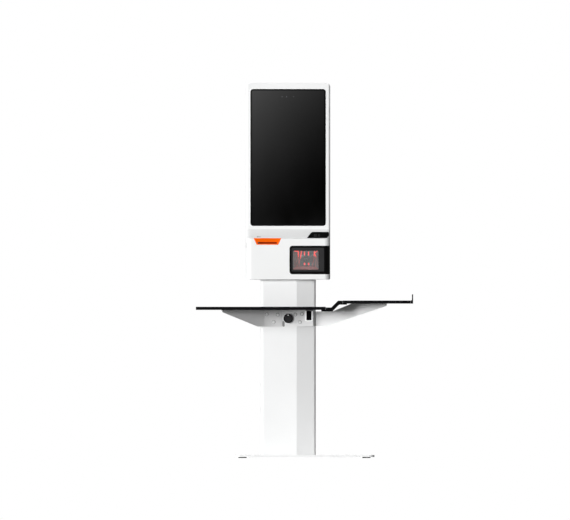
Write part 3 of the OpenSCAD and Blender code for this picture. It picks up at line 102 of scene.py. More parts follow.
# The scan chamber: its middle, half sizes at the mouth and at the back, depth, wall, rim and rounding
CHAMBER_LOW, CHAMBER_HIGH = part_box("scanner_chamber")
MOUTH = (CHAMBER_LOW + CHAMBER_HIGH) / 2
MOUTH_Y = CHAMBER_LOW.y
MOUTH_HALF = (55.65 * MM, 41.25 * MM)
BACK_HALF = (39 * MM, 27 * MM)
CHAMBER_D = 50 * MM
CHAMBER_WALL = 2 * MM
CHAMBER_RIM = 6 * MM
CHAMBER_R = 4 * MM

# The photograph's frame: its size in pixels, the length of a pixel, and its middle
IMAGE_W, IMAGE_H = 570, 520
PIXEL = 4.345 * MM
VIEW_X = -84.7 * MM
VIEW_Z = 860.3 * MM

# Places in the photograph, in its pixels: the pad's field and lights, the printed sign, the grey tab of
# painted shade below the knob
PAD_CORNER = (329.05, 231.9)
PAD_LIGHT_XS = (314.5, 316.1, 319.0)
PAD_LIGHT_YS = (234.8, 236.1)
RECEIPT_MARK_X = 258.9
GAP_SHADE_X = 283.6
GAP_SHADE_TOP, GAP_SHADE_FOOT = 321, 326.6

# Strokes of light in the scan chamber, in the photograph's pixels. The lamps of two columns have a
# top, a foot and their width there. The other lamps have a start, an end and their widths at these.
LAMP_XS = (304.5, 308.6)
LAMP_W = 1.5
LAMP_SPANS = ((262.7, 265.2, 1.5), (251.4, 255.8, 0.8))
SIDE_LAMPS = (((298.3, 250.9), (298.2, 257.4), (1.3, 0.8)),
              ((301.5, 250.6), (300.3, 259), (1.4, 0.7)),
              ((314.6, 250.9), (313.9, 256.6), (1.3, 0.8)))
THROWN_LIGHT = (((294, 251.2), (298.8, 251.4), (1.0, 1.2)),
                ((317.8, 250.6), (314.6, 253.5), (1.0, 1.2)),
                ((314.8, 253.6), (316.1, 257.4), (1.1, 0.7)))
SPECK_RUNS = (((298, 258), (294.6, 265.4)), ((298.6, 258.6), (299.6, 265.2)),
              ((300, 260), (297.2, 265.4)), ((314, 257.6), (312.6, 265.2)),
              ((315.2, 258.4), (315.6, 265.2)), ((316.2, 258), (318, 265.4)))
SPECK_STEP = 1.25
RIB_SPANS = ((296.4, ((252.6, 257.2),)), (303, ((251.4, 257), (262.6, 265))),
             (306.6, ((251.4, 256.4), (262.6, 265))), (310.7, ((251.8, 255.8), (262.6, 265))),
             (312.4, ((251.4, 256.4),)), (316.9, ((252.8, 256),)))
RIB_W = 1.1


# Shader nodes, and the materials by the names of their finishes

FINISH = {}


def put(shader, inputs):
    """Sets inputs of a shader node to values, or links them to outputs of other nodes."""
    for key, value in inputs.items():
        if isinstance(value, bpy.types.NodeSocket):
            shader.id_data.links.new(value, shader.inputs[key])
        else:
            shader.inputs[key].default_value = value


def node(tree, kind, inputs=None, **settings):
    """Adds a shader node with the given inputs and settings."""
    made = tree.nodes.new(kind)
    for key, value in settings.items():
        setattr(made, key, value)
    put(made, inputs or {})
    return made


def rgba(tone, gain=1.0):
    """A tone as a colour with alpha, made brighter or darker."""
    return tuple(min(1.0, c * gain) for c in tone) + (1.0,)


def ramp(tree, fac, stops):
    """Turns a number into a colour through stops, each a place and a colour."""
    made = node(tree, "ShaderNodeValToRGB", {"Fac": fac})
    points = made.color_ramp.elements
    while len(points) < len(stops):
        points.new(0.5)
    for point, (place, colour) in zip(points, stops):
        point.position = place
        point.color = colour
    return made.outputs["Color"]


def between(tree, fac, low, high):
    """Spreads the middle of a noise over a range."""
    made = node(tree, "ShaderNodeMapRange", {"Value": fac, "From Min": 0.3, "From Max": 0.7,
                                             "To Min": low, "To Max": high})
    return made.outputs["Result"]


def scaled(tree, size, stretch=EVEN):
    """The object's coordinates in units of size."""
    coords = node(tree, "ShaderNodeTexCoord").outputs["Object"]
    scale = [s / size for s in stretch]
    return node(tree, "ShaderNodeMapping", {"Vector": coords, "Scale": scale}).outputs["Vector"]


def noise(tree, size, detail=2.0, stretch=EVEN):
    """Cloudy noise with patches of some size."""
    made = node(tree, "ShaderNodeTexNoise", {"Vector": scaled(tree, size, stretch), "Scale": 1.0,
                                             "Detail": detail})
    return made.outputs["Fac"]


def mixed(tree, fac, low, high):
    """Goes from one colour to another."""
    return node(tree, "ShaderNodeMix", {0: fac, 6: low, 7: high}, data_type="RGBA").outputs[2]


def relief(tree, shader, height, depth):
    """Gives a shader a bump of some depth."""
    bump = node(tree, "ShaderNodeBump", {"Strength": 0.6, "Distance": depth, "Height": height})
    put(shader, {"Normal": bump.outputs["Normal"]})


def blank(name, metallic=0.0, specular=0.5):
    """A new material, listed among the finishes, with its node tree and its shader."""
    made = bpy.data.materials.new(name)
    FINISH[name] = made
    made.use_nodes = True
    shader = made.node_tree.nodes["Principled BSDF"]
    put(shader, {"Metallic": metallic, "Specular IOR Level": specular})
    return made, made.node_tree, shader


def coated(name, tone, rough, grain, depth, spread=0.015, patch=0.25, metallic=0.0, specular=0.5,
           stretch=EVEN, wear_and_highlight=None):
    """A moulded, painted or ground surface: slow tone changes, a fine grain, and sharp edges lightened
    partly as wear and partly as painted highlight.
    """
    made, tree, shader = blank(name, metallic, specular)
    slow = noise(tree, patch, 3.0)
    colour = ramp(tree, slow, [(0.3, rgba(tone, 1 - spread)), (0.7, rgba(tone, 1 + spread))])
    # Sharp convex edges turn towards this lighter tone: partly wear, partly a painted highlight along
    # the edges.
    if wear_and_highlight:
        edge = node(tree, "ShaderNodeNewGeometry").outputs["Pointiness"]
        share = node(tree, "ShaderNodeMapRange", {"Value": edge, "From Min": 0.53, "From Max": 0.62,
                                                  "To Min": 0.0, "To Max": 0.5})
        colour = mixed(tree, share.outputs["Result"], colour, rgba(wear_and_highlight))
    fine = noise(tree, grain, 2.0, stretch)
    put(shader, {"Base Color": colour, "Roughness": between(tree, fine, *rough)})
    relief(tree, shader, fine, depth)
    return made


def glossy_black(name, tone, rough, specular):
    """Polished black glass or plastic with faint wiping marks in its gloss."""
    _, tree, shader = blank(name, specular=specular)
    slow = noise(tree, 0.12, 2.0)
    colour = ramp(tree, slow, [(0.35, rgba(tone, 0.8)), (0.65, rgba(tone, 1.2))])
    wiped = noise(tree, 0.05, 4.0, (1.0, 1.0, 0.25))
    smear = 0.03
    put(shader, {"Base Color": colour, "Roughness": between(tree, wiped, rough, rough + smear)})


def window_tint():
    """The scanner's smoked window."""
    made, tree, shader = blank("window_tint")
    slow = noise(tree, 0.03, 2.0)
    colour = ramp(tree, slow, [(0.3, (0.62, 0.64, 0.64, 1)), (0.7, (0.7, 0.71, 0.71, 1))])
    wiped = noise(tree, 0.02, 3.0)
    put(shader, {"Base Color": colour, "Roughness": between(tree, wiped, 0.0, 0.03),
                 "Transmission Weight": 1.0, "IOR": 1.45})
    return made


def lamp(name, tone, strength):
    """A glowing surface whose colour varies a little: the scanner's red lamps, and painted light on the
    chamber's lining, floor and ribs.
    """
    _, tree, shader = blank(name)
    cloud = noise(tree, 0.004, 2.0)
    colour = ramp(tree, cloud, [(0.3, rgba(tone, 0.85)), (0.7, rgba(tone, 1.05))])
    put(shader, {"Base Color": colour, "Emission Color": rgba(tone), "Emission Strength": strength,
                 "Roughness": 0.4})


def painted_glow_plastic(name, tone, glow_tone, strength):
    """Coloured plastic that glows by itself as painted light, standing in for light that falls on it.
    """
    made = coated(name, tone, (0.35, 0.45), FINE, 0.02 * MM, spread=0.03, specular=0.15)
    put(made.node_tree.nodes["Principled BSDF"], {"Emission Color": rgba(glow_tone),
                                                  "Emission Strength": strength})


def ribbed_grey():
    """The scan chamber's lining: upright ribs, grey with a cool tint, lit from inside."""
    made, tree, shader = blank("chamber_lining")
    wave = {"Vector": scaled(tree, 0.03), "Scale": 1.0, "Distortion": 0.6, "Detail": 1.0}
    ribs = node(tree, "ShaderNodeTexWave", wave, bands_direction="X").outputs["Fac"]
    colour = ramp(tree, ribs, [(0.0, (0.172, 0.18, 0.18, 1)), (1.0, (0.158, 0.168, 0.168, 1))])
    put(shader, {"Base Color": colour, "Emission Color": colour, "Emission Strength": 0.5,
                 "Roughness": 0.6})
    relief(tree, shader, ribs, 0.2 * MM)
    return made


def circuit():
    """Solder mask with copper runs under it."""
    made, tree, shader = blank("solder_mask")
    runs = node(tree, "ShaderNodeTexBrick", {
        "Vector": scaled(tree, 0.02), "Scale": 1.0, "Mortar Size": 0.03,
        "Color1": (0.01, 0.09, 0.05, 1), "Color2": (0.012, 0.11, 0.06, 1),
        "Mortar": (0.05, 0.22, 0.11, 1)})
    put(shader, {"Base Color": runs.outputs["Color"], "Roughness": 0.35})
    relief(tree, shader, runs.outputs["Fac"], 0.05 * MM)
    return made


def wound_paper():
    """Thermal paper: the roll's ends show its turns as fine rings."""
    made, tree, shader = blank("wound_paper", specular=0.3)
    low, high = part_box("paper_roll")
    middle = (low + high) / 2
    coords = node(tree, "ShaderNodeTexCoord").outputs["Object"]
    shift = node(tree, "ShaderNodeMapping", {"Vector": coords, "Location": -middle})
    wave = {"Vector": shift.outputs["Vector"], "Scale": 160.0, "Distortion": 1.0, "Detail": 2.0}
    rings = node(tree, "ShaderNodeTexWave", wave, wave_type="RINGS", rings_direction="X").outputs["Fac"]
    colour = ramp(tree, rings, [(0.2, (0.68, 0.68, 0.66, 1)), (0.7, (0.86, 0.86, 0.85, 1))])
    put(shader, {"Base Color": colour, "Roughness": 0.8})
    relief(tree, shader, rings, 0.08 * MM)
    return made


# The finishes; four that are made by functions of their own are listed under their slots

coated("powder_white", (0.84, 0.845, 0.845), (0.5, 0.6), 1.3 * MM, 0.05 * MM, specular=0.1,
       wear_and_highlight=(0.88, 0.88, 0.88))
# Painted shade: the left bracket's grey is darker than the white paint of the right bracket, for the
# shade under the shelf.
coated("bracket_grey", (0.74, 0.74, 0.74), (0.5, 0.6), 1.3 * MM, 0.05 * MM, specular=0.1,
       wear_and_highlight=(0.78, 0.78, 0.78))
# Painted shade: a mid grey for the right bracket's fold beside the column and for the rings round the
# bracket screws.
coated("painted_shade_grey", (0.4, 0.4, 0.4), (0.5, 0.6), 1.3 * MM, 0.05 * MM, specular=0.1)
coated("shell_white", (0.84, 0.847, 0.845), (0.42, 0.5), FINE, 0.02 * MM, specular=0.1,
       wear_and_highlight=(0.88, 0.88, 0.88))
# Painted shade: the shoulder's slope is a greyer white than the frame, for the shade that the slope
# gets.
coated("shoulder_painted_shade", (0.735, 0.741, 0.74), (0.42, 0.5), FINE, 0.02 * MM, specular=0.1,
       wear_and_highlight=(0.8, 0.8, 0.8))
coated("rim_white", (0.9, 0.905, 0.905), (0.3, 0.36), FINE, 0.01 * MM, specular=0.15)
coated("foot_rubber", (0.004, 0.004, 0.004), (0.7, 0.85), FINE, 0.04 * MM, spread=0.2, specular=0.03)
coated("steel", (0.55, 0.55, 0.56), (0.28, 0.42), FINE, 0.01 * MM, metallic=1.0,
       stretch=(1.0, 8.0, 8.0))
coated("board_black", (0.0035, 0.0035, 0.004), (0.5, 0.66), 0.8 * MM, 0.05 * MM, spread=0.25,
       patch=0.04, specular=0.02, wear_and_highlight=(0.01, 0.01, 0.011))
coated("profile_black", (0.003, 0.003, 0.0034), (0.42, 0.56), FINE, 0.02 * MM, spread=0.2,
       specular=0.02, stretch=(1.0, 0.05, 1.0), wear_and_highlight=(0.01, 0.01, 0.01))
coated("black_plastic", (0.0025, 0.0025, 0.0027), (0.45, 0.6), FINE, 0.03 * MM, spread=0.15,
       specular=0.02)
glossy_black("light_off", (0.06, 0.061, 0.062), 0.3, 0.1)
coated("knob_disc", (0.022, 0.022, 0.023), (0.3, 0.4), FINE, 0.02 * MM, spread=0.1, specular=0.1)
glossy_black("black_gloss", (0.0015, 0.0015, 0.0015), 0.08, 0.03)
coated("tape", (0.02, 0.02, 0.02), (0.7, 0.8), FINE, 0.02 * MM, spread=0.2)
glossy_black("glass_black", (0.0012, 0.0012, 0.0012), 0.06, 0.5)
glossy_black("glass_border", (0.0008, 0.0008, 0.0008), 0.03, 0.12)
glossy_black("sensor", (0.045, 0.045, 0.05), 0.1, 0.5)
coated("panel", (0.03, 0.032, 0.035), (0.2, 0.3), FINE, 0.01 * MM, spread=0.1)
FINISH["circuit_board"] = circuit()
# Painted light: the paper outlet's orange glows, though no lamp is behind it.
painted_glow_plastic("orange_plastic", (0.48, 0.076, 0.002), (1.0, 0.15, 0.004), 0.56)
FINISH["window_glass"] = window_tint()
glossy_black("window_edge", (0.017, 0.017, 0.018), 0.05, 0.25)
FINISH["chamber_grey"] = ribbed_grey()
lamp("lamp_red", (0.95, 0.11, 0.10), 1.35)
lamp("glow_red", (0.95, 0.12, 0.11), 1.2)
lamp("glow_faint", (0.75, 0.17, 0.16), 0.7)
lamp("glow_pink", (0.33, 0.165, 0.165), 0.6)
# Painted light: the lining's ribs glow teal, like the lining itself.
lamp("rib_painted_glow", (0.075, 0.16, 0.16), 0.7)
coated("platen_rubber", (0.02, 0.02, 0.021), (0.6, 0.75), FINE, 0.03 * MM, spread=0.15)
coated("gear_plastic", (0.72, 0.70, 0.62), (0.4, 0.5), FINE, 0.02 * MM)
coated("brass", (0.72, 0.52, 0.22), (0.22, 0.35), FINE, 0.01 * MM, metallic=1.0)
coated("ceramic", (0.6, 0.58, 0.53), (0.25, 0.4), FINE, 0.01 * MM)
FINISH["paper"] = wound_paper()
coated("button_blue", (0.03, 0.16, 0.5), (0.35, 0.45), FINE, 0.02 * MM)
# Painted shade: a dark grey for the tab in the gap below the knob and for the rocker frame's top under
# the board.
coated("painted_shade_dark", (0.28, 0.28, 0.28), (0.5, 0.6), FINE, 0.02 * MM, specular=0.1)
coated("cutter_grey", (0.08, 0.08, 0.08), (0.5, 0.6), FINE, 0.02 * MM, specular=0.1)
# Painted shade: a dark brown for the shaded orange seen inside the receipt slot, on its lips and on the
# tear bar.
coated("slot_painted_shade", (0.225, 0.02, 0.003), (0.6, 0.7), FINE, 0.03 * MM, spread=0.08, specular=0.05)
coated("mark_grey", (0.2, 0.2, 0.2), (0.5, 0.6), FINE, 0.01 * MM, spread=0.05, specular=0.1)
coated("mark_white", (0.85, 0.85, 0.85), (0.5, 0.6), FINE, 0.01 * MM)
# Painted light: the switch's white frame glows a little, to show brighter than the shaded bracket round
# it.
painted_glow_plastic("switch_painted_glow", (0.88, 0.885, 0.885), WHITE, 0.3)


# Mesh tools

def from_solid(name):
    """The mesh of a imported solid, welded, with its flat faces whole."""
    bm = bmesh.new()
    bm.from_mesh(NODES[name].data)
    bmesh.ops.remove_doubles(bm, verts=bm.verts, dist=WELD)
    bmesh.ops.dissolve_limit(bm, angle_limit=FLAT, verts=bm.verts, edges=bm.edges)
    return bm


def soften(bm, width, steps=3, pick=None):
    """Rounds the sharp outward edges, or those of them that pick chooses."""
    edges = [e for e in bm.edges if e.is_manifold and e.is_convex
             and e.calc_face_angle() > SHARP and (pick is None or pick(e))]
    if edges:
        bmesh.ops.bevel(bm, geom=edges, offset=width, offset_type="OFFSET", segments=steps,
                        profile=0.5, affect="EDGES", clamp_overlap=True, loop_slide=True)


def mesh_of(name, bm):
    """Makes a mesh of a bmesh, which is then gone."""
    mesh = bpy.data.meshes.new(name)
    bm.to_mesh(mesh)
    bm.free()
    return mesh


def linked(name, data):
    """A new object in the scene."""
    made = bpy.data.objects.new(name, data)
    bpy.context.scene.collection.objects.link(made)
    return made


def piece(name, bm, body, slot, finishes, stands_for=(), crease=None):
    """Makes a piece that rides on a body; crease may name a place across for upright sharp folds."""
    bmesh.ops.recalc_face_normals(bm, faces=bm.faces)
    mesh = mesh_of(name, bm)
    for finish in finishes:
        mesh.materials.append(FINISH[finish])
    mesh.shade_smooth()
    mesh.set_sharp_from_angle(angle=FOLD)
    near = 0.2 * MM
    for edge in mesh.edges if crease is not None else ():
        if all(abs(mesh.vertices[i].co.x - crease) < near for i in edge.vertices):
            edge.use_edge_sharp = True
    made = linked(name, mesh)
    weighted = made.modifiers.new("even_faces", "WEIGHTED_NORMAL")
    weighted.keep_sharp = True
    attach(made, body)
    if stands_for:
        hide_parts(*stands_for)
    return made


def dressed(name, width, steps=3, finish=None, wide=None, crease=None):
    """A solid's own shape with its edges rounded, first the wide ones and then the rest."""
    bm = from_solid(name)
    if wide:
        pick, wide_width, wide_steps = wide
        soften(bm, wide_width, wide_steps, pick)
    soften(bm, width, steps)
    return piece(name + "_form", bm, BODY[name], SLOT[name], [finish or SLOT[name]], [name], crease)


def round_rect(x0, x1, z0, z1, r):
    """The outline of a rectangle with round corners."""
    steps = 8
    points = []
    for cx, cz, start in ((x1 - r, z0 + r, -90), (x1 - r, z1 - r, 0), (x0 + r, z1 - r, 90),
                          (x0 + r, z0 + r, 180)):
        for i in range(steps + 1):
            a = math.radians(start + 90 * i / steps)
            points.append((cx + r * math.cos(a), cz + r * math.sin(a)))
    return points


def inset_loops(low, high, r, rows):
    """Rounded rectangles from corner to corner, each drawn in by some distance at some depth."""
    return [[(x, y, z) for x, z in round_rect(low[0] + d, high[0] - d, low[1] + d, high[1] - d, r - d)]
            for d, y in rows]


def loft(bm, loops, materials=None, first=False, last=False):
    """Joins closed loops of points with bands of faces; first and last close the ends."""
    rows = [[bm.verts.new(p) for p in loop] for loop in loops]
    count = len(rows[0])
    for k in range(len(rows) - 1):
        for i in range(count):
            j = (i + 1) % count
            face = bm.faces.new((rows[k][i], rows[k][j], rows[k + 1][j], rows[k + 1][i]))
            face.material_index = materials[k] if materials else 0
    if first:
        bm.faces.new(list(reversed(rows[0])))
    if last:
        bm.faces.new(rows[-1]).material_index = materials[-1] if materials else 0
    return rows


def turned(bm, centre, axis, profile, count=48, shape=None, materials=None):
    """A turned body: profile gives radius and height along axis, shape may vary the radius."""
    axis = Vector(axis).normalized()
    side = axis.orthogonal().normalized()
    other = axis.cross(side)
    loops = []
    for row, (radius, height) in enumerate(profile):
        loop = []
        for i in range(count):
            a = 2 * math.pi * i / count
            r = shape(row, a, radius) if shape else radius
            loop.append(Vector(centre) + axis * height + (side * math.cos(a) + other * math.sin(a)) * r)
        loops.append(loop)
    loft(bm, loops, materials, first=True, last=True)


def islands(name):
    """The boxes of a node's separate solids."""
    bm = bmesh.new()
    bm.from_mesh(NODES[name].data)
    bmesh.ops.remove_doubles(bm, verts=bm.verts, dist=WELD)
    left = set(bm.verts)
    boxes = []
    while left:
        group = []
        todo = [left.pop()]
        while todo:
            v = todo.pop()
            group.append(v.co)
            for e in v.link_edges:
                w = e.other_vert(v)
                if w in left:
                    left.remove(w)
                    todo.append(w)
        low = Vector([min(c[k] for c in group) for k in range(3)])
        high = Vector([max(c[k] for c in group) for k in range(3)])
        boxes.append((low, high))
    bm.free()
    return boxes


def cut(bm, place, normal):
    """Cuts every face that a plane crosses in two."""
    bmesh.ops.bisect_plane(bm, geom=list(bm.verts) + list(bm.edges) + list(bm.faces), dist=CUT_SLACK,
                           plane_co=place, plane_no=normal)


def bar(bm, low, high, edge):
    """A block with rounded edges."""
    made = bmesh.ops.create_cube(bm, size=1.0)["verts"]
    size = Vector(high) - Vector(low)
    middle = (Vector(high) + Vector(low)) / 2
    for v in made:
        v.co = middle + Vector(v.co[k] * size[k] for k in range(3))
    edges = list({e for v in made for e in v.link_edges})
    bmesh.ops.bevel(bm, geom=edges, offset=edge, segments=2, profile=0.5, affect="EDGES")


def from_pixel(x, y):
    """The place across and up of a point of the photograph."""
    return VIEW_X + (x - IMAGE_W / 2) * PIXEL, VIEW_Z - (y - IMAGE_H / 2) * PIXEL


def hexagon(rows):
    """Turns the given rows of a turned body into hexagons."""
    def shape(row, a, radius):
        if row not in rows:
            return radius
        return radius * math.cos(math.pi / 6) / math.cos(a % (math.pi / 3) - math.pi / 6)
    return shape


def socket_screw(bm, tip, axis, length, head, height, socket_share, socket_depth):
    """A button-head screw with a hex socket; axis points from its tip out of its head."""
    neck = length - height
    shank = head * 0.4
    socket = head * socket_share
    turned(bm, tip, axis, [
        (shank * 0.75, 0), (shank, shank * 0.3), (shank, neck), (head, neck),
        (head * 0.98, neck + height * 0.25), (head * 0.9, neck + height * 0.5),
        (head * 0.74, neck + height * 0.76), (head * 0.55, neck + height * 0.93),
        (head * 0.44, length), (socket, length),
        (socket * 0.95, length - height * socket_depth * 0.8),
        (TIP, length - height * socket_depth)],
        36, hexagon((9, 10)))


def screws(name, axis, height, finish, nut=0.0, socket=(0.42, 0.62), washer=0.0):
    """Button-head screws in the places of a node's plain ones, some with nuts, and some with washers
    whose grey is painted shade.
    """
    axis = Vector(axis)
    along = max(range(3), key=lambda k: abs(axis[k]))
    across = (along + 1) % 3
    boxes = islands(name)
    reach = max((high if axis[along] < 0 else low)[along] * -axis[along] for low, high in boxes)
    bore, nut_h, chamfer = 4.3 * MM, 2 * MM, 0.3 * MM
    nut_profile = [(bore, 0), (nut, chamfer), (nut, nut_h - chamfer), (bore, nut_h)]
    bm = bmesh.new()
    for low, high in boxes:
        tip = (low + high) / 2
        tip[along] = high[along] if axis[along] < 0 else low[along]
        head = (high[across] - low[across]) / 2
        length = high[along] - low[along]
        socket_screw(bm, tip, axis, length, head, height, *socket)
        if washer:
            washer_profile = [(washer, WELD), (washer, 0.5 * MM), (washer - 0.7 * MM, 1.1 * MM),
                              (head * 0.9, 1.1 * MM)]
            turned(bm, tip + axis * (length - height), axis, washer_profile, 36, materials=[1] * 4)
        if nut and reach + tip[along] * axis[along] > MM:
            turned(bm, tip + axis * MM, axis, nut_profile, 36, hexagon((0, 1, 2, 3)))
    # The washers take the grey of painted shade, for a dark ring round each head.
    finishes = [finish, "painted_shade_grey"] if washer else [finish]
    piece(name + "_form", bm, BODY[name], SLOT[name], finishes, [name])


# Head: frame, contactless pad, shell, printed sign, glass and sensors

def edge_drop(reach, r):
    """How far a rounded upright edge has fallen back, at a distance in from the head's side."""
    inside = min(r, max(0.0, r - reach))
    return r - math.sqrt(r * r - inside * inside)


def widen_shoulder(bm, depth):
    """Lets the shoulder's upright edges grow from the frame's rounding to the door's."""
    cuts = [k * MM for k in (1, 2.5, 4, 6, 9, 12, 15, 18, 21, 25)]
    for x in [HEAD_LOW.x + c for c in cuts] + [HEAD_HIGH.x - c for c in cuts]:
        faces = [f for f in bm.faces if min(v.co.z for v in f.verts) < SHOULDER_TOP - 0.1 * MM]
        edges = {e for f in faces for e in f.edges}
        verts = {v for f in faces for v in f.verts}
        bmesh.ops.bisect_plane(bm, geom=list(verts) + list(edges) + faces, dist=CUT_SLACK,
                               plane_co=(x, 0, 0), plane_no=(1, 0, 0))
    for v in bm.verts:
        share = min(1.0, max(0.0, (SHOULDER_TOP - v.co.z) / (SHOULDER_TOP - NOSE_Z)))
        front = SCREEN_Y - share * (SCREEN_Y - NOSE_Y)
        if share > 0 and v.co.y < front + depth:
            reach = min(v.co.x - HEAD_LOW.x, HEAD_HIGH.x - v.co.x)
            r = EDGE_R + share * (CHIN_EDGE_R - EDGE_R)
            v.co.y += edge_drop(reach, r) - edge_drop(reach, EDGE_R)


def front_frame():
    """The head's white frame, whose sloped shoulder has a greyer finish as painted shade."""
    bm = from_solid("front_frame")
    widen_shoulder(bm, EDGE_R + 0.5 * MM)
    soften(bm, 0.8 * MM)
    bm.normal_update()
    upward = 0.3
    # The slope's faces take the greyer white of painted shade.
    for f in bm.faces:
        spot = f.calc_center_median()
        if f.normal.z > upward and NOSE_Z < spot.z < SHOULDER_TOP and spot.y < SCREEN_Y + EDGE_R:
            f.material_index = 1
    piece("front_frame_form", bm, "stand", "shell_white", ["shell_white", "shoulder_painted_shade"],
          ["front_frame"])


def contactless_pad():
    """The reader's cover: a black field with round corners in a white border."""
    bm = from_solid("contactless_pad")
    widen_shoulder(bm, depth=60 * MM)
    soften(bm, 0.5 * MM)
    low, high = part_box("contactless_pad")
    right, top = from_pixel(*PAD_CORNER)
    left_top = min(v.co.x for v in bm.verts if v.co.z > high.z - 2 * MM)
    lean = math.atan2(high.z - low.z, left_top - low.x) + math.pi / 2
    r, foot_r, tip_r = 14 * MM, 16 * MM, 6 * MM
    left = low.x - (r + (top - r - low.z) * math.sin(lean)) / math.cos(lean)
    corners = [((right - foot_r, low.z + foot_r), foot_r, -math.pi / 2, 0.0),
               ((right - tip_r, top - tip_r), tip_r, 0.0, math.pi / 2),
               ((left, top - r), r, math.pi / 2, lean)]
    steps, rim = 6, 0.995
    for (x, z), size, start, end in corners:
        for i in range(steps + 1):
            a = start + (end - start) * i / steps
            turn = Vector((math.cos(a), 0, math.sin(a)))
            cut(bm, Vector((x, 0, z)) + turn * size, turn)
    for f in bm.faces:
        spot = f.calc_center_median()
        outside = spot.x > right or spot.z > top
        for (x, z), size, start, end in corners:
            a = math.atan2(spot.z - z, spot.x - x)
            outside = outside or (start < a < end and math.hypot(spot.x - x, spot.z - z) > size * rim)
        f.material_index = 1 if outside else 0
    face = BVHTree.FromBMesh(bm)
    piece("contactless_pad_form", bm, "stand", SLOT["contactless_pad"], ["black_gloss", "shell_white"],
          ["contactless_pad"])
    reader_lights(face)


def reader_lights(face):
    """Six small signal lights on the pad's face."""
    r, dome_r = 2.3 * MM, 2.0 * MM
    profile = [(r, -0.3 * MM), (r, 0.05 * MM), (dome_r, 0.16 * MM), (TIP, 0.2 * MM)]
    bm = bmesh.new()
    for x in PAD_LIGHT_XS:
        for y in PAD_LIGHT_YS:
            across, up = from_pixel(x, y)
            place, normal, *_ = face.ray_cast(Vector((across, -1, up)), Vector((0, 1, 0)))
            turned(bm, place, normal, profile, 24)
    piece("reader_lights", bm, "stand", SLOT["contactless_pad"], ["light_off"])


def shell_edge(e):
    """Tells the rear shell's outer back edges from the rest."""
    low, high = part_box("rear_shell")
    a, b = (v.co for v in e.verts)
    backs = [f.normal.y > 0.5 for f in e.link_faces]
    near = MM
    side = any(abs(a.x - x) < near and abs(b.x - x) < near for x in (low.x, high.x))
    top = min(a.z, b.z) > high.z - near
    bottom = max(a.z, b.z) < low.z + near
    return any(backs) and not all(backs) and (side or top or bottom)


def on_shoulder(x, up, lift):
    """A point on the shoulder's slope, some way up it and lifted off it."""
    slope = Vector((0, SCREEN_Y - NOSE_Y, SHOULDER_TOP - NOSE_Z)).normalized()
    return Vector((x, NOSE_Y, NOSE_Z)) + slope * up + Vector((0, -slope.z, slope.y)) * lift


def stroke(bm, place, points, width, lift):
    """A thin printed line through points of a plane that place maps onto the object."""
    for (x0, z0), (x1, z1) in zip(points, points[1:]):
        run = Vector((x1 - x0, z1 - z0)).normalized()
        side = Vector((-run.y, run.x)) * width / 2
        run = run * width / 2
        ends = [(x0 - run.x + side.x, z0 - run.y + side.y), (x0 - run.x - side.x, z0 - run.y - side.y),
                (x1 + run.x - side.x, z1 + run.y - side.y), (x1 + run.x + side.x, z1 + run.y + side.y)]
        loft(bm, [[place(x, z, 0) for x, z in ends], [place(x, z, lift) for x, z in ends]], last=True)


def receipt_mark():
    """A small printed sign over the outlet: a sheet with lines, and an arrow that points down."""
    middle = from_pixel(RECEIPT_MARK_X, 0)[0]
    middle_up = 5
    ink, line, thin, bold = 0.06, 1.2, 0.9, 1.6
    bm = bmesh.new()

    def place(x, z, lift):
        return on_shoulder(middle + x * MM, (middle_up + z) * MM, lift * MM)

    sheet = [(-7, -2.6), (-7, 3), (-2.4, 3), (-2.4, -2.6), (-3.9, -1.8), (-5.4, -2.6), (-7, -2.6)]
    stroke(bm, place, sheet, line, ink)
    for z in (1.4, 0):
        stroke(bm, place, [(-5.8, z), (-3.6, z)], thin, ink)
    stroke(bm, place, [(4.5, 2.8), (4.5, -2)], bold, ink)
    stroke(bm, place, [(2.3, 0), (4.5, -2.4), (6.7, 0)], bold, ink)
    piece("receipt_mark", bm, "stand", "bracket_grey", ["mark_grey"])


def glass():
    """The cover glass: a rounded black border round the display's field."""
    border = 6.5 * MM
    edge = 1.2 * MM
    front, back = GLASS_LOW.y, GLASS_HIGH.y
    rows = [(0, back), (0, front + edge), (edge * 0.13, front + edge * 0.5),
            (edge * 0.5, front + edge * 0.13), (edge, front), (border, front)]
    bm = bmesh.new()
    loft(bm, inset_loops(GLASS_LOW.xz, GLASS_HIGH.xz, GLASS_R, rows), [1, 1, 1, 1, 1, 0], first=True,
         last=True)
    piece("cover_glass_sheet", bm, "stand", "glass_black", ["glass_black", "glass_border"],
          ["cover_glass"])


def glass_rim():
    """The pale lip that runs round the glass."""
    gap, width, proud = 0.3 * MM, 4.2 * MM, 0.5 * MM
    plane = GLASS_LOW.y - 0.2 * MM
    rows = [(-gap, plane + 2 * MM), (-gap, plane), (-gap - 0.5 * MM, plane - proud),
            (0.8 * MM - width, plane - proud), (-width, plane + 0.05 * MM), (-width, plane + 2 * MM)]
    loops = inset_loops(GLASS_LOW.xz, GLASS_HIGH.xz, GLASS_R, rows)
    bm = bmesh.new()
    loft(bm, loops + loops[:1])
    piece("glass_rim", bm, "stand", "shell_white", ["rim_white"])


def sensors():
    """Three small sensor windows behind the glass, near its top edge."""
    bm = bmesh.new()
    for x, d in SENSORS:
        r = d / 2 * MM
        turned(bm, (x * MM, GLASS_LOW.y, SENSOR_Z), FRONT,
               [(r, -0.5 * MM), (r, 0.04 * MM), (r * 0.8, 0.08 * MM), (r * 0.7, 0.03 * MM)], 24)
    piece("sensor_windows", bm, "stand", "glass_black", ["sensor"])


# Scanner: window, lit chamber and lamps

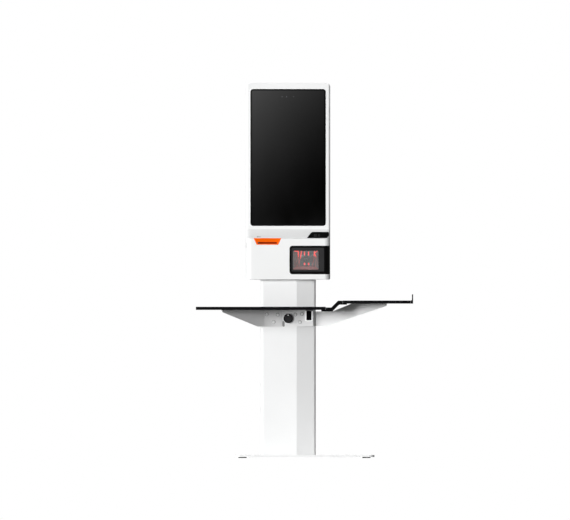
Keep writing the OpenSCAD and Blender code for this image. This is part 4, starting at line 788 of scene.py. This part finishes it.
def scanner_pane():
    """The scanner's window: dark print round a clear field."""
    low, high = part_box("scanner_window")
    edge, r, field_r = 0.5 * MM, 4.7 * MM, 4.5 * MM
    inset = 0.4 * MM
    field = round_rect(MOUTH.x - MOUTH_HALF[0] + inset, MOUTH.x + MOUTH_HALF[0] - inset,
                       MOUTH.z - MOUTH_HALF[1] + inset, MOUTH.z + MOUTH_HALF[1] - inset, field_r)
    rim = round_rect(low.x, high.x, low.z, high.z, r)
    face = round_rect(low.x + edge, high.x - edge, low.z + edge, high.z - edge, r - edge)
    rows = [(field, low.y), (face, low.y), (rim, low.y + edge), (rim, high.y), (field, high.y)]
    bm = bmesh.new()
    loft(bm, [[(x, y, z) for x, z in loop] for loop, y in rows], [1, 1, 1, 1, 0], first=True, last=True)
    piece("scanner_pane", bm, "door", SLOT["scanner_window"], ["window_glass", "window_edge"],
          ["scanner_window"])


def chamber_loop(half, grow, y):
    """The chamber's outline at some depth, grown outward."""
    return [(x, y, z) for x, z in round_rect(
        MOUTH.x - half[0] - grow, MOUTH.x + half[0] + grow, MOUTH.z - half[1] - grow,
        MOUTH.z + half[1] + grow, CHAMBER_R)]


def scan_chamber():
    """The tapered chamber: grey lining, a floor that the lamps colour, dark outside, a lens cover."""
    back = MOUTH_Y + CHAMBER_D
    rim_back = MOUTH_Y + 2 * MM
    rows = [(BACK_HALF, CHAMBER_WALL, back + CHAMBER_WALL), (MOUTH_HALF, CHAMBER_WALL, rim_back),
            (MOUTH_HALF, CHAMBER_RIM, rim_back), (MOUTH_HALF, CHAMBER_RIM, MOUTH_Y),
            (MOUTH_HALF, 0, MOUTH_Y), (BACK_HALF, 0, back)]
    bm = bmesh.new()
    loft(bm, [chamber_loop(*row) for row in rows], [2, 2, 2, 2, 0, 0], first=True, last=True)
    bm.normal_update()
    for f in bm.faces:
        spot = f.calc_center_median()
        inside = f.material_index == 0 and spot.y < back - MM and spot.y > MOUTH_Y
        if inside and spot.z < MOUTH.z - BACK_HALF[1]:
            f.material_index = 1
        if spot.y > back + MM:
            f.material_index = 2
    piece("scan_chamber", bm, "door", SLOT["scanner_chamber"],
          ["chamber_grey", "glow_pink", "black_plastic"], ["scanner_chamber"])
    bm = bmesh.new()
    turned(bm, (MOUTH.x, back, MOUTH.z), FRONT, [(9 * MM, -0.2 * MM), (8.4 * MM, 3 * MM),
           (7.6 * MM, 5.4 * MM), (6.8 * MM, 6 * MM), (TIP, 6.2 * MM)], 36)
    piece("lens_cover", bm, "door", SLOT["scanner_chamber"], ["chamber_grey"])


def on_lining(x, z, lift):
    """The point of the chamber's lining behind a point of its mouth, lifted off it."""
    share = min(1.0, *((h - abs(d)) / (h - b) for h, b, d in
                       zip(MOUTH_HALF, BACK_HALF, (x - MOUTH.x, z - MOUTH.z))))
    return Vector((x, MOUTH_Y + share * CHAMBER_D - lift, z))


def glow(bm, start, end, widths, lift):
    """A raised strip with round ends along the lining, between two points of the photograph."""
    steps, straight, tip = 10, 0.6, 0.03
    a, b = Vector(from_pixel(*start)), Vector(from_pixel(*end))
    side = Vector((a.y - b.y, b.x - a.x)).normalized()
    rows = []
    for i in range(steps + 1):
        s = i / steps
        near_end = max(0.0, abs(2 * s - 1) - straight) / (1 - straight)
        half = (widths[0] + (widths[1] - widths[0]) * s) * PIXEL / 2
        half *= math.sqrt(max(tip, 1 - near_end * near_end))
        spot = a.lerp(b, s)
        rows.append([bm.verts.new(on_lining(*(spot + side * half * k), lift * h))
                     for k, h in ((-1, 0.1), (-0.6, 0.8), (0, 1), (0.6, 0.8), (1, 0.1))])
    for row, after in zip(rows, rows[1:]):
        for k in range(4):
            bm.faces.new((row[k], row[k + 1], after[k + 1], after[k]))


def scan_lamps():
    """Red lamps in the chamber, the light that they throw on its lining, and the lining's ribs, which
    glow as painted light.
    """
    lamp_h, thrown_h, rib_h = 2.5 * MM, 1.0 * MM, 0.8 * MM
    lamps_bm = bmesh.new()
    for x in LAMP_XS:
        for top, foot_y, foot_w in LAMP_SPANS:
            glow(lamps_bm, (x, top), (x, foot_y), (LAMP_W, foot_w), lamp_h)
    for start, end, widths in SIDE_LAMPS:
        glow(lamps_bm, start, end, widths, lamp_h)
    piece("scan_lamps", lamps_bm, "door", SLOT["scanner_lamps"], ["lamp_red"], ["scanner_lamps"])
    thrown = bmesh.new()
    for start, end, widths in THROWN_LIGHT:
        glow(thrown, start, end, widths, thrown_h)
    piece("thrown_light", thrown, "door", SLOT["scanner_lamps"], ["glow_red"])
    light_specks()
    ribs = bmesh.new()
    for x, spans in RIB_SPANS:
        for y0, y1 in spans:
            glow(ribs, (x, y0), (x, y1), (RIB_W, RIB_W), rib_h)
    piece("lining_ribs", ribs, "door", SLOT["scanner_chamber"], ["rib_painted_glow"])


def light_specks():
    """Rows of faint red specks where the lamps' light grazes the lining."""
    r, dome_r = 1.5 * MM, 1.1 * MM
    profile = [(r, -0.6 * MM), (r, 0.2 * MM), (dome_r, 0.6 * MM), (TIP, 0.8 * MM)]
    bm = bmesh.new()
    for start, end in SPECK_RUNS:
        a, b = Vector(start), Vector(end)
        count = int((b - a).length / SPECK_STEP)
        for i in range(count + 1):
            across, up = from_pixel(*a.lerp(b, i / count))
            turned(bm, on_lining(across, up, 0), FRONT, profile, 12)
    piece("light_specks", bm, "door", SLOT["scanner_lamps"], ["glow_faint"])


# Stand and shelf: knob, switch, bracket, end stop, feet and inlet, and the lips of the receipt slot

def knob():
    """The shelf lock's knob: fluted grip, shallow dish, pale pointer and a pale washer behind it."""
    low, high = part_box("shelf_lock_knob")
    middle = Vector(((low.x + high.x) / 2, high.y, (low.z + high.z) / 2))
    r, h = (high.x - low.x) / 2, high.y - low.y
    dish = h - 1.4 * MM
    flutes, flute_depth, grip_rows = 24, 0.03, (1, 2, 3)

    def fluted(row, a, radius):
        hollow = flute_depth * max(0.0, math.cos(flutes * a)) ** 2
        return radius * (1 - hollow) if row in grip_rows else radius

    bm = bmesh.new()
    turned(bm, middle, FRONT, [
        (r * 0.95, 0), (r, MM), (r, h * 0.6), (r * 0.985, h * 0.8), (r * 0.94, h * 0.94), (r * 0.88, h),
        (r * 0.84, h), (r * 0.81, dish), (r * 0.4, dish - 0.1 * MM), (TIP, dish - 0.15 * MM)],
        144, fluted, [0, 0, 0, 0, 0, 0, 0, 1, 1, 1])
    piece("shelf_lock_grip", bm, "shelf_lock", SLOT["shelf_lock_knob"],
          ["black_plastic", "knob_disc"], ["shelf_lock_knob"])
    bm = bmesh.new()
    dot = middle + Vector((0, -dish, r * 0.68))
    turned(bm, dot, FRONT, [(2.9 * MM, -0.4 * MM), (2.9 * MM, 0.1 * MM), (2.4 * MM, 0.3 * MM),
                            (TIP, 0.35 * MM)], 24)
    piece("lock_pointer", bm, "shelf_lock", "shell_white", ["mark_white"])
    bm = bmesh.new()
    flange_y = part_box("bracket_screws")[0].y + BRACKET_HEAD_H
    turned(bm, (middle.x, flange_y, middle.z), FRONT, [
        (r * 1.1, -0.1 * MM), (r * 1.1, 0.5 * MM), (r * 1.07, 0.9 * MM), (r * 0.5, 0.9 * MM)], 96)
    piece("lock_washer", bm, "stand", "bracket_grey", ["rim_white"])


def gap_shade_tab():
    """A grey tab of painted shade, below the knob in the gap between the brackets."""
    across, top = from_pixel(GAP_SHADE_X, GAP_SHADE_TOP)
    foot_z = from_pixel(GAP_SHADE_X, GAP_SHADE_FOOT)[1]
    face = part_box("column_shell")[0].y
    half, r = 4.6 * MM, 4.2 * MM
    rows = [(0, face + 0.2 * MM), (0, face - 1.4 * MM), (0.5 * MM, face - 1.9 * MM),
            (1.1 * MM, face - 2 * MM)]
    loops = inset_loops((across - half, foot_z), (across + half, top), r, rows)
    bm = bmesh.new()
    loft(bm, loops, first=True, last=True)
    piece("gap_shade_tab", bm, "stand", "bracket_grey", ["painted_shade_dark"])


def slot_lips():
    """Two lips that close the receipt slot, dark brown as painted shade of the orange inside it, and
    the dark end of its cutter.
    """
    low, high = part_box("paper_outlet")
    bar_low, bar_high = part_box("tear_bar")
    middle, slot_z = (low.x + high.x) / 2, bar_low.z
    half, slot_h, split = 41.6 * MM, 7.4 * MM, 0.5 * MM
    y0, y1 = bar_high.y + 1.2 * MM, bar_high.y + 3 * MM
    bm = bmesh.new()
    bar(bm, (middle - half, y0, slot_z), (middle + half, y1, slot_z + slot_h / 2 - split), 0.3 * MM)
    bar(bm, (middle - half, y0, slot_z + slot_h / 2), (middle + half, y1, slot_z + slot_h), 0.3 * MM)
    piece("slot_lips", bm, "door", SLOT["paper_outlet"], ["slot_painted_shade"])
    bm = bmesh.new()
    bar(bm, (middle - half, bar_low.y + 2 * MM, slot_z + 0.9 * MM),
        (middle - half + 6.5 * MM, y0, slot_z + slot_h), 0.6 * MM)
    piece("cutter_end", bm, "door", SLOT["tear_bar"], ["cutter_grey"])


def rocker_frame():
    """The switch's frame: a white that glows a little as painted light, a black well, and a top of
    painted shade under the board.
    """
    bm = from_solid("rocker_frame")
    low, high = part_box("rocker_frame")
    soften(bm, 0.6 * MM)
    middle = (low.x + high.x) / 2
    half, foot_z, top = ROCKER_WELL
    for x in (middle - half, middle + half):
        cut(bm, (x, 0, 0), (1, 0, 0))
    for z in (foot_z, top):
        cut(bm, (0, 0, z), (0, 0, 1))
    for f in bm.faces:
        spot = f.calc_center_median()
        # Faces above the well take the dark grey of painted shade from the board above.
        if spot.z > top:
            f.material_index = 2
        elif abs(spot.x - middle) < half and spot.z > foot_z:
            f.material_index = 1
    piece("rocker_frame_form", bm, "stand", SLOT["rocker_frame"],
          ["switch_painted_glow", "black_plastic", "painted_shade_dark"], ["rocker_frame"])


def right_bracket():
    """The right bracket: its fold beside the column is a darker grey of painted shade, and its wing a
    paler white of painted light.
    """
    bm = from_solid("shelf_bracket_right")
    soften(bm, 0.5 * MM)
    bm.normal_update()
    fold_x, wing_x, sideways = 37 * MM, 51 * MM, 0.6
    for f in bm.faces:
        spot = f.calc_center_median()
        # Painted light: the wing takes a paler white than the flange; the fold facing right takes the
        # grey of painted shade.
        if spot.x > wing_x:
            f.material_index = 2
        elif spot.x > fold_x and f.normal.x > sideways:
            f.material_index = 1
    piece("shelf_bracket_right_form", bm, "stand", SLOT["shelf_bracket_right"],
          ["powder_white", "painted_shade_grey", "rim_white"], ["shelf_bracket_right"])


def end_stop():
    """The tray's end stop: a foot as thick as the board and a blade along its outer edge."""
    low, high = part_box("tray_end_stop")
    board_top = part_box("tray_board")[1].z
    blade, lip = 5 * MM, 2 * MM
    profile = [(low.x, low.z), (high.x, low.z), (high.x, board_top), (high.x, high.z),
               (high.x - blade, high.z), (high.x - blade, board_top + lip), (low.x, board_top)]
    bm = bmesh.new()
    loft(bm, [[(x, y, z) for x, z in profile] for y in (low.y, high.y)], first=True, last=True)
    bmesh.ops.recalc_face_normals(bm, faces=bm.faces)
    soften(bm, 0.5 * MM)
    piece("tray_end_stop_form", bm, BODY["tray_end_stop"], SLOT["tray_end_stop"],
          [SLOT["tray_end_stop"]], ["tray_end_stop"])


def foot(name):
    """A levelling foot: ribbed rubber pad on a threaded stud with a hex socket in its top."""
    low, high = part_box(name)
    r, h = (high.x - low.x) / 2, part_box("base_plate")[0].z - low.z - 0.05 * MM
    middle = ((low.x + high.x) / 2, (low.y + high.y) / 2, low.z)
    stud, pitch, top = 5 * MM, 0.8 * MM, high.z - low.z
    profile = [(r * 0.9, 0), (r * 0.98, 0.25 * MM), (r, 0.7 * MM), (r, 1.5 * MM), (r * 0.98, 1.8 * MM),
               (r * 0.98, 2.1 * MM), (r, 2.4 * MM), (r, h - 0.5 * MM), (r * 0.98, h), (stud, h)]
    rubber = len(profile) - 1
    z = h
    while z < top - 1.5 * MM:
        profile += [(stud * 0.9, z + pitch / 2), (stud, z + pitch)]
        z += pitch
    profile += [(stud, top - 0.6 * MM), (stud * 0.88, top), (stud * 0.55, top),
                (stud * 0.55, top - 3 * MM), (TIP, top - 3.3 * MM)]
    bm = bmesh.new()
    turned(bm, middle, (0, 0, 1), profile, 48, hexagon((len(profile) - 3, len(profile) - 2)),
           [0] * rubber + [1] * (len(profile) - rubber))
    piece(name + "_form", bm, name, SLOT[name], ["foot_rubber", "steel"], [name])


def inlet_pins():
    """Three blades in the power inlet's socket."""
    low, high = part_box("power_inlet")
    x, z = (low.x + high.x) / 2, (low.z + high.z) / 2
    bm = bmesh.new()
    blades = ((-7, -2), (0, 2), (7, -2))
    for dx, dz in blades:
        bar(bm, (x + (dx - 1) * MM, low.y + 2 * MM, z + (dz - 2) * MM),
            (x + (dx + 1) * MM, high.y - 6 * MM, z + (dz + 2) * MM), 0.4 * MM)
    piece("inlet_pins", bm, "stand", "steel", ["steel"])


# Stage: camera, lamps, floor and the card that the glass mirrors

def camera():
    """A straight front view without perspective, in the photograph's frame."""
    distance = 5.0
    data = bpy.data.cameras.new("camera")
    data.type = "ORTHO"
    data.ortho_scale = IMAGE_W * PIXEL
    made = linked("camera", data)
    made.location = (VIEW_X, -distance, VIEW_Z)
    made.rotation_euler = (math.pi / 2, 0, 0)
    bpy.context.scene.camera = made


def sun(name, azimuth, elevation, strength, spread):
    """A soft lamp far away; azimuth turns from the object's front to its right."""
    distance = 5
    data = bpy.data.lights.new(name, "SUN")
    data.energy = strength
    data.angle = math.radians(spread)
    a, e = math.radians(azimuth), math.radians(elevation)
    place = Vector((math.sin(a) * math.cos(e), -math.cos(a) * math.cos(e), math.sin(e))) * distance
    made = linked(name, data)
    made.location = place
    made.rotation_euler = (-place).to_track_quat("-Z", "Y").to_euler()


def lamps():
    """A tall soft key from the left front, more light from the left, and a rim from the rear."""
    sun("key_low", -22, 3.5, 1.6, 10)
    sun("key_high", -40, 11.5, 1.25, 10)
    sun("key_side", -50, 8, 0.36, 10)
    sun("left", -65, 1, 0.76, 14)
    sun("rear", 165, 40, 2.0, 20)


def world(ambient):
    """White light all round, at full strength only where it is seen, mirrored or looked through."""
    made = bpy.data.worlds.new("studio")
    bpy.context.scene.world = made
    made.use_nodes = True
    tree = made.node_tree
    tree.nodes.clear()
    path = node(tree, "ShaderNodeLightPath").outputs
    seen = node(tree, "ShaderNodeMath", {0: path["Is Camera Ray"], 1: path["Is Glossy Ray"]},
                operation="ADD")
    clear = node(tree, "ShaderNodeMath", {0: seen.outputs[0], 1: path["Is Transmission Ray"]},
                 operation="ADD", use_clamp=True)
    soft = node(tree, "ShaderNodeBackground", {"Color": rgba(WHITE), "Strength": ambient})
    white = node(tree, "ShaderNodeBackground", {"Color": rgba(WHITE), "Strength": 1.0})
    mix = node(tree, "ShaderNodeMixShader", {"Fac": clear.outputs[0], 1: soft.outputs[0],
                                             2: white.outputs[0]})
    node(tree, "ShaderNodeOutputWorld", {"Surface": mix.outputs[0]})


def floor():
    """A pale floor: it takes the object's shadow, but lets the low lamps pass and looks bright."""
    reach, brightness = 14, 0.76
    bm = bmesh.new()
    bmesh.ops.create_grid(bm, x_segments=4, y_segments=4, size=reach)
    made = linked("floor", mesh_of("floor", bm))
    made.visible_shadow = False
    material = coated("floor_pale", (0.25, 0.25, 0.25), (0.8, 0.9), 4 * MM, 0.02 * MM, specular=0.1)
    tree = material.node_tree
    path = node(tree, "ShaderNodeLightPath").outputs
    seen = node(tree, "ShaderNodeMath", {0: path["Is Camera Ray"], 1: brightness}, operation="MULTIPLY")
    put(tree.nodes["Principled BSDF"], {"Emission Color": rgba(WHITE),
                                        "Emission Strength": seen.outputs[0]})
    made.data.materials.append(material)


def sheen_card():
    """A graded studio card that only reflections see: it gives the glass its diagonal sheen."""
    low_x, high_x, low_z, high_z = -0.60, 0.45, 0.97, 1.70
    y = -3.0
    left_tone, right_tone, fall = 0.285, 0.16, 0.2
    contrast, brightness = 2.2, 25.0
    bm = bmesh.new()
    bm.faces.new([bm.verts.new(p) for p in ((low_x, y, low_z), (high_x, y, low_z), (high_x, y, high_z),
                                            (low_x, y, high_z))])
    made = linked("sheen_card", mesh_of("sheen_card", bm))
    made.visible_camera = made.visible_diffuse = made.visible_shadow = False
    made.visible_transmission = made.visible_volume_scatter = False
    material = bpy.data.materials.new("sheen_card")
    material.use_nodes = True
    tree = material.node_tree
    tree.nodes.clear()
    coords = node(tree, "ShaderNodeTexCoord").outputs["Object"]
    split = node(tree, "ShaderNodeSeparateXYZ", {0: coords}).outputs
    across = node(tree, "ShaderNodeMapRange", {
        "Value": split["X"], "From Min": GLASS_LOW.x, "From Max": GLASS_HIGH.x,
        "To Min": left_tone, "To Max": right_tone}, clamp=False)
    down = node(tree, "ShaderNodeMapRange", {
        "Value": split["Z"], "From Min": GLASS_HIGH.z, "From Max": GLASS_LOW.z,
        "To Min": 0.0, "To Max": -fall}, clamp=False)
    tone = node(tree, "ShaderNodeMath", {0: across.outputs["Result"], 1: down.outputs["Result"]},
                operation="ADD", use_clamp=True)
    power = node(tree, "ShaderNodeMath", {0: tone.outputs[0], 1: contrast}, operation="POWER")
    gain = node(tree, "ShaderNodeMath", {0: power.outputs[0], 1: brightness}, operation="MULTIPLY")
    light = node(tree, "ShaderNodeEmission", {"Strength": gain.outputs[0]})
    node(tree, "ShaderNodeOutputMaterial", {"Surface": light.outputs[0]})
    made.data.materials.append(material)


glass()
glass_rim()
sensors()
front_frame()
contactless_pad()
receipt_mark()
scanner_pane()
scan_chamber()
scan_lamps()
knob()
gap_shade_tab()
slot_lips()
rocker_frame()
right_bracket()
end_stop()
inlet_pins()
for part in ("foot_front_left", "foot_front_right", "foot_rear_left", "foot_rear_right"):
    foot(part)
screws("bracket_screws", FRONT, BRACKET_HEAD_H, "powder_white", nut=5 * MM, socket=(0.3, 0.2),
       washer=8.2 * MM)
screws("rear_cover_screws", (0, 1, 0), 2.5 * MM, "steel")
screws("shell_screws", (0, 1, 0), 2.5 * MM, "steel")
screws("shelf_screws", (0, 0, -1), 2.5 * MM, "steel")
# The tear bar takes the dark brown of painted shade.
dressed("tear_bar", 0.1 * MM, 1, "slot_painted_shade")
dressed("rear_shell", 1 * MM, wide=(shell_edge, 7 * MM, 5))
dressed("column_shell", 0.6 * MM, crease=COLUMN_CREASE)
ROUNDED = {
    "base_plate": 0.8, "column_rear_cover": 0.6, "power_inlet": 0.5,
    "shelf_bracket_left": 0.5, "shelf_board": 1.2, "shelf_step": 0.8,
    "tray_board": 0.8, "rocker": 0.6,
    "vent_grille": 0.4, "service_door": 0.6, "paper_outlet": 0.5, "scanner_bezel": 0.6,
    "lock_body": 0.4, "lock_cylinder": 0.2, "printer_frame": 0.3, "lower_chassis": 0.3,
    "feed_button": 0.4, "thermal_head": 0.3, "platen_roller": 0.4, "feed_motor": 0.5,
    "paper_roll": 0.3, "roll_spindle": 0.5, "door_catch": 0.3,
}
for part, width in ROUNDED.items():
    dressed(part, width * MM)
for part, made in NODES.items():
    made.data.materials.clear()
    made.data.materials.append(FINISH[SLOT[part]])

camera()
lamps()
world(0.085)
floor()
sheen_card()
bpy.context.scene.view_settings.view_transform = "Standard"
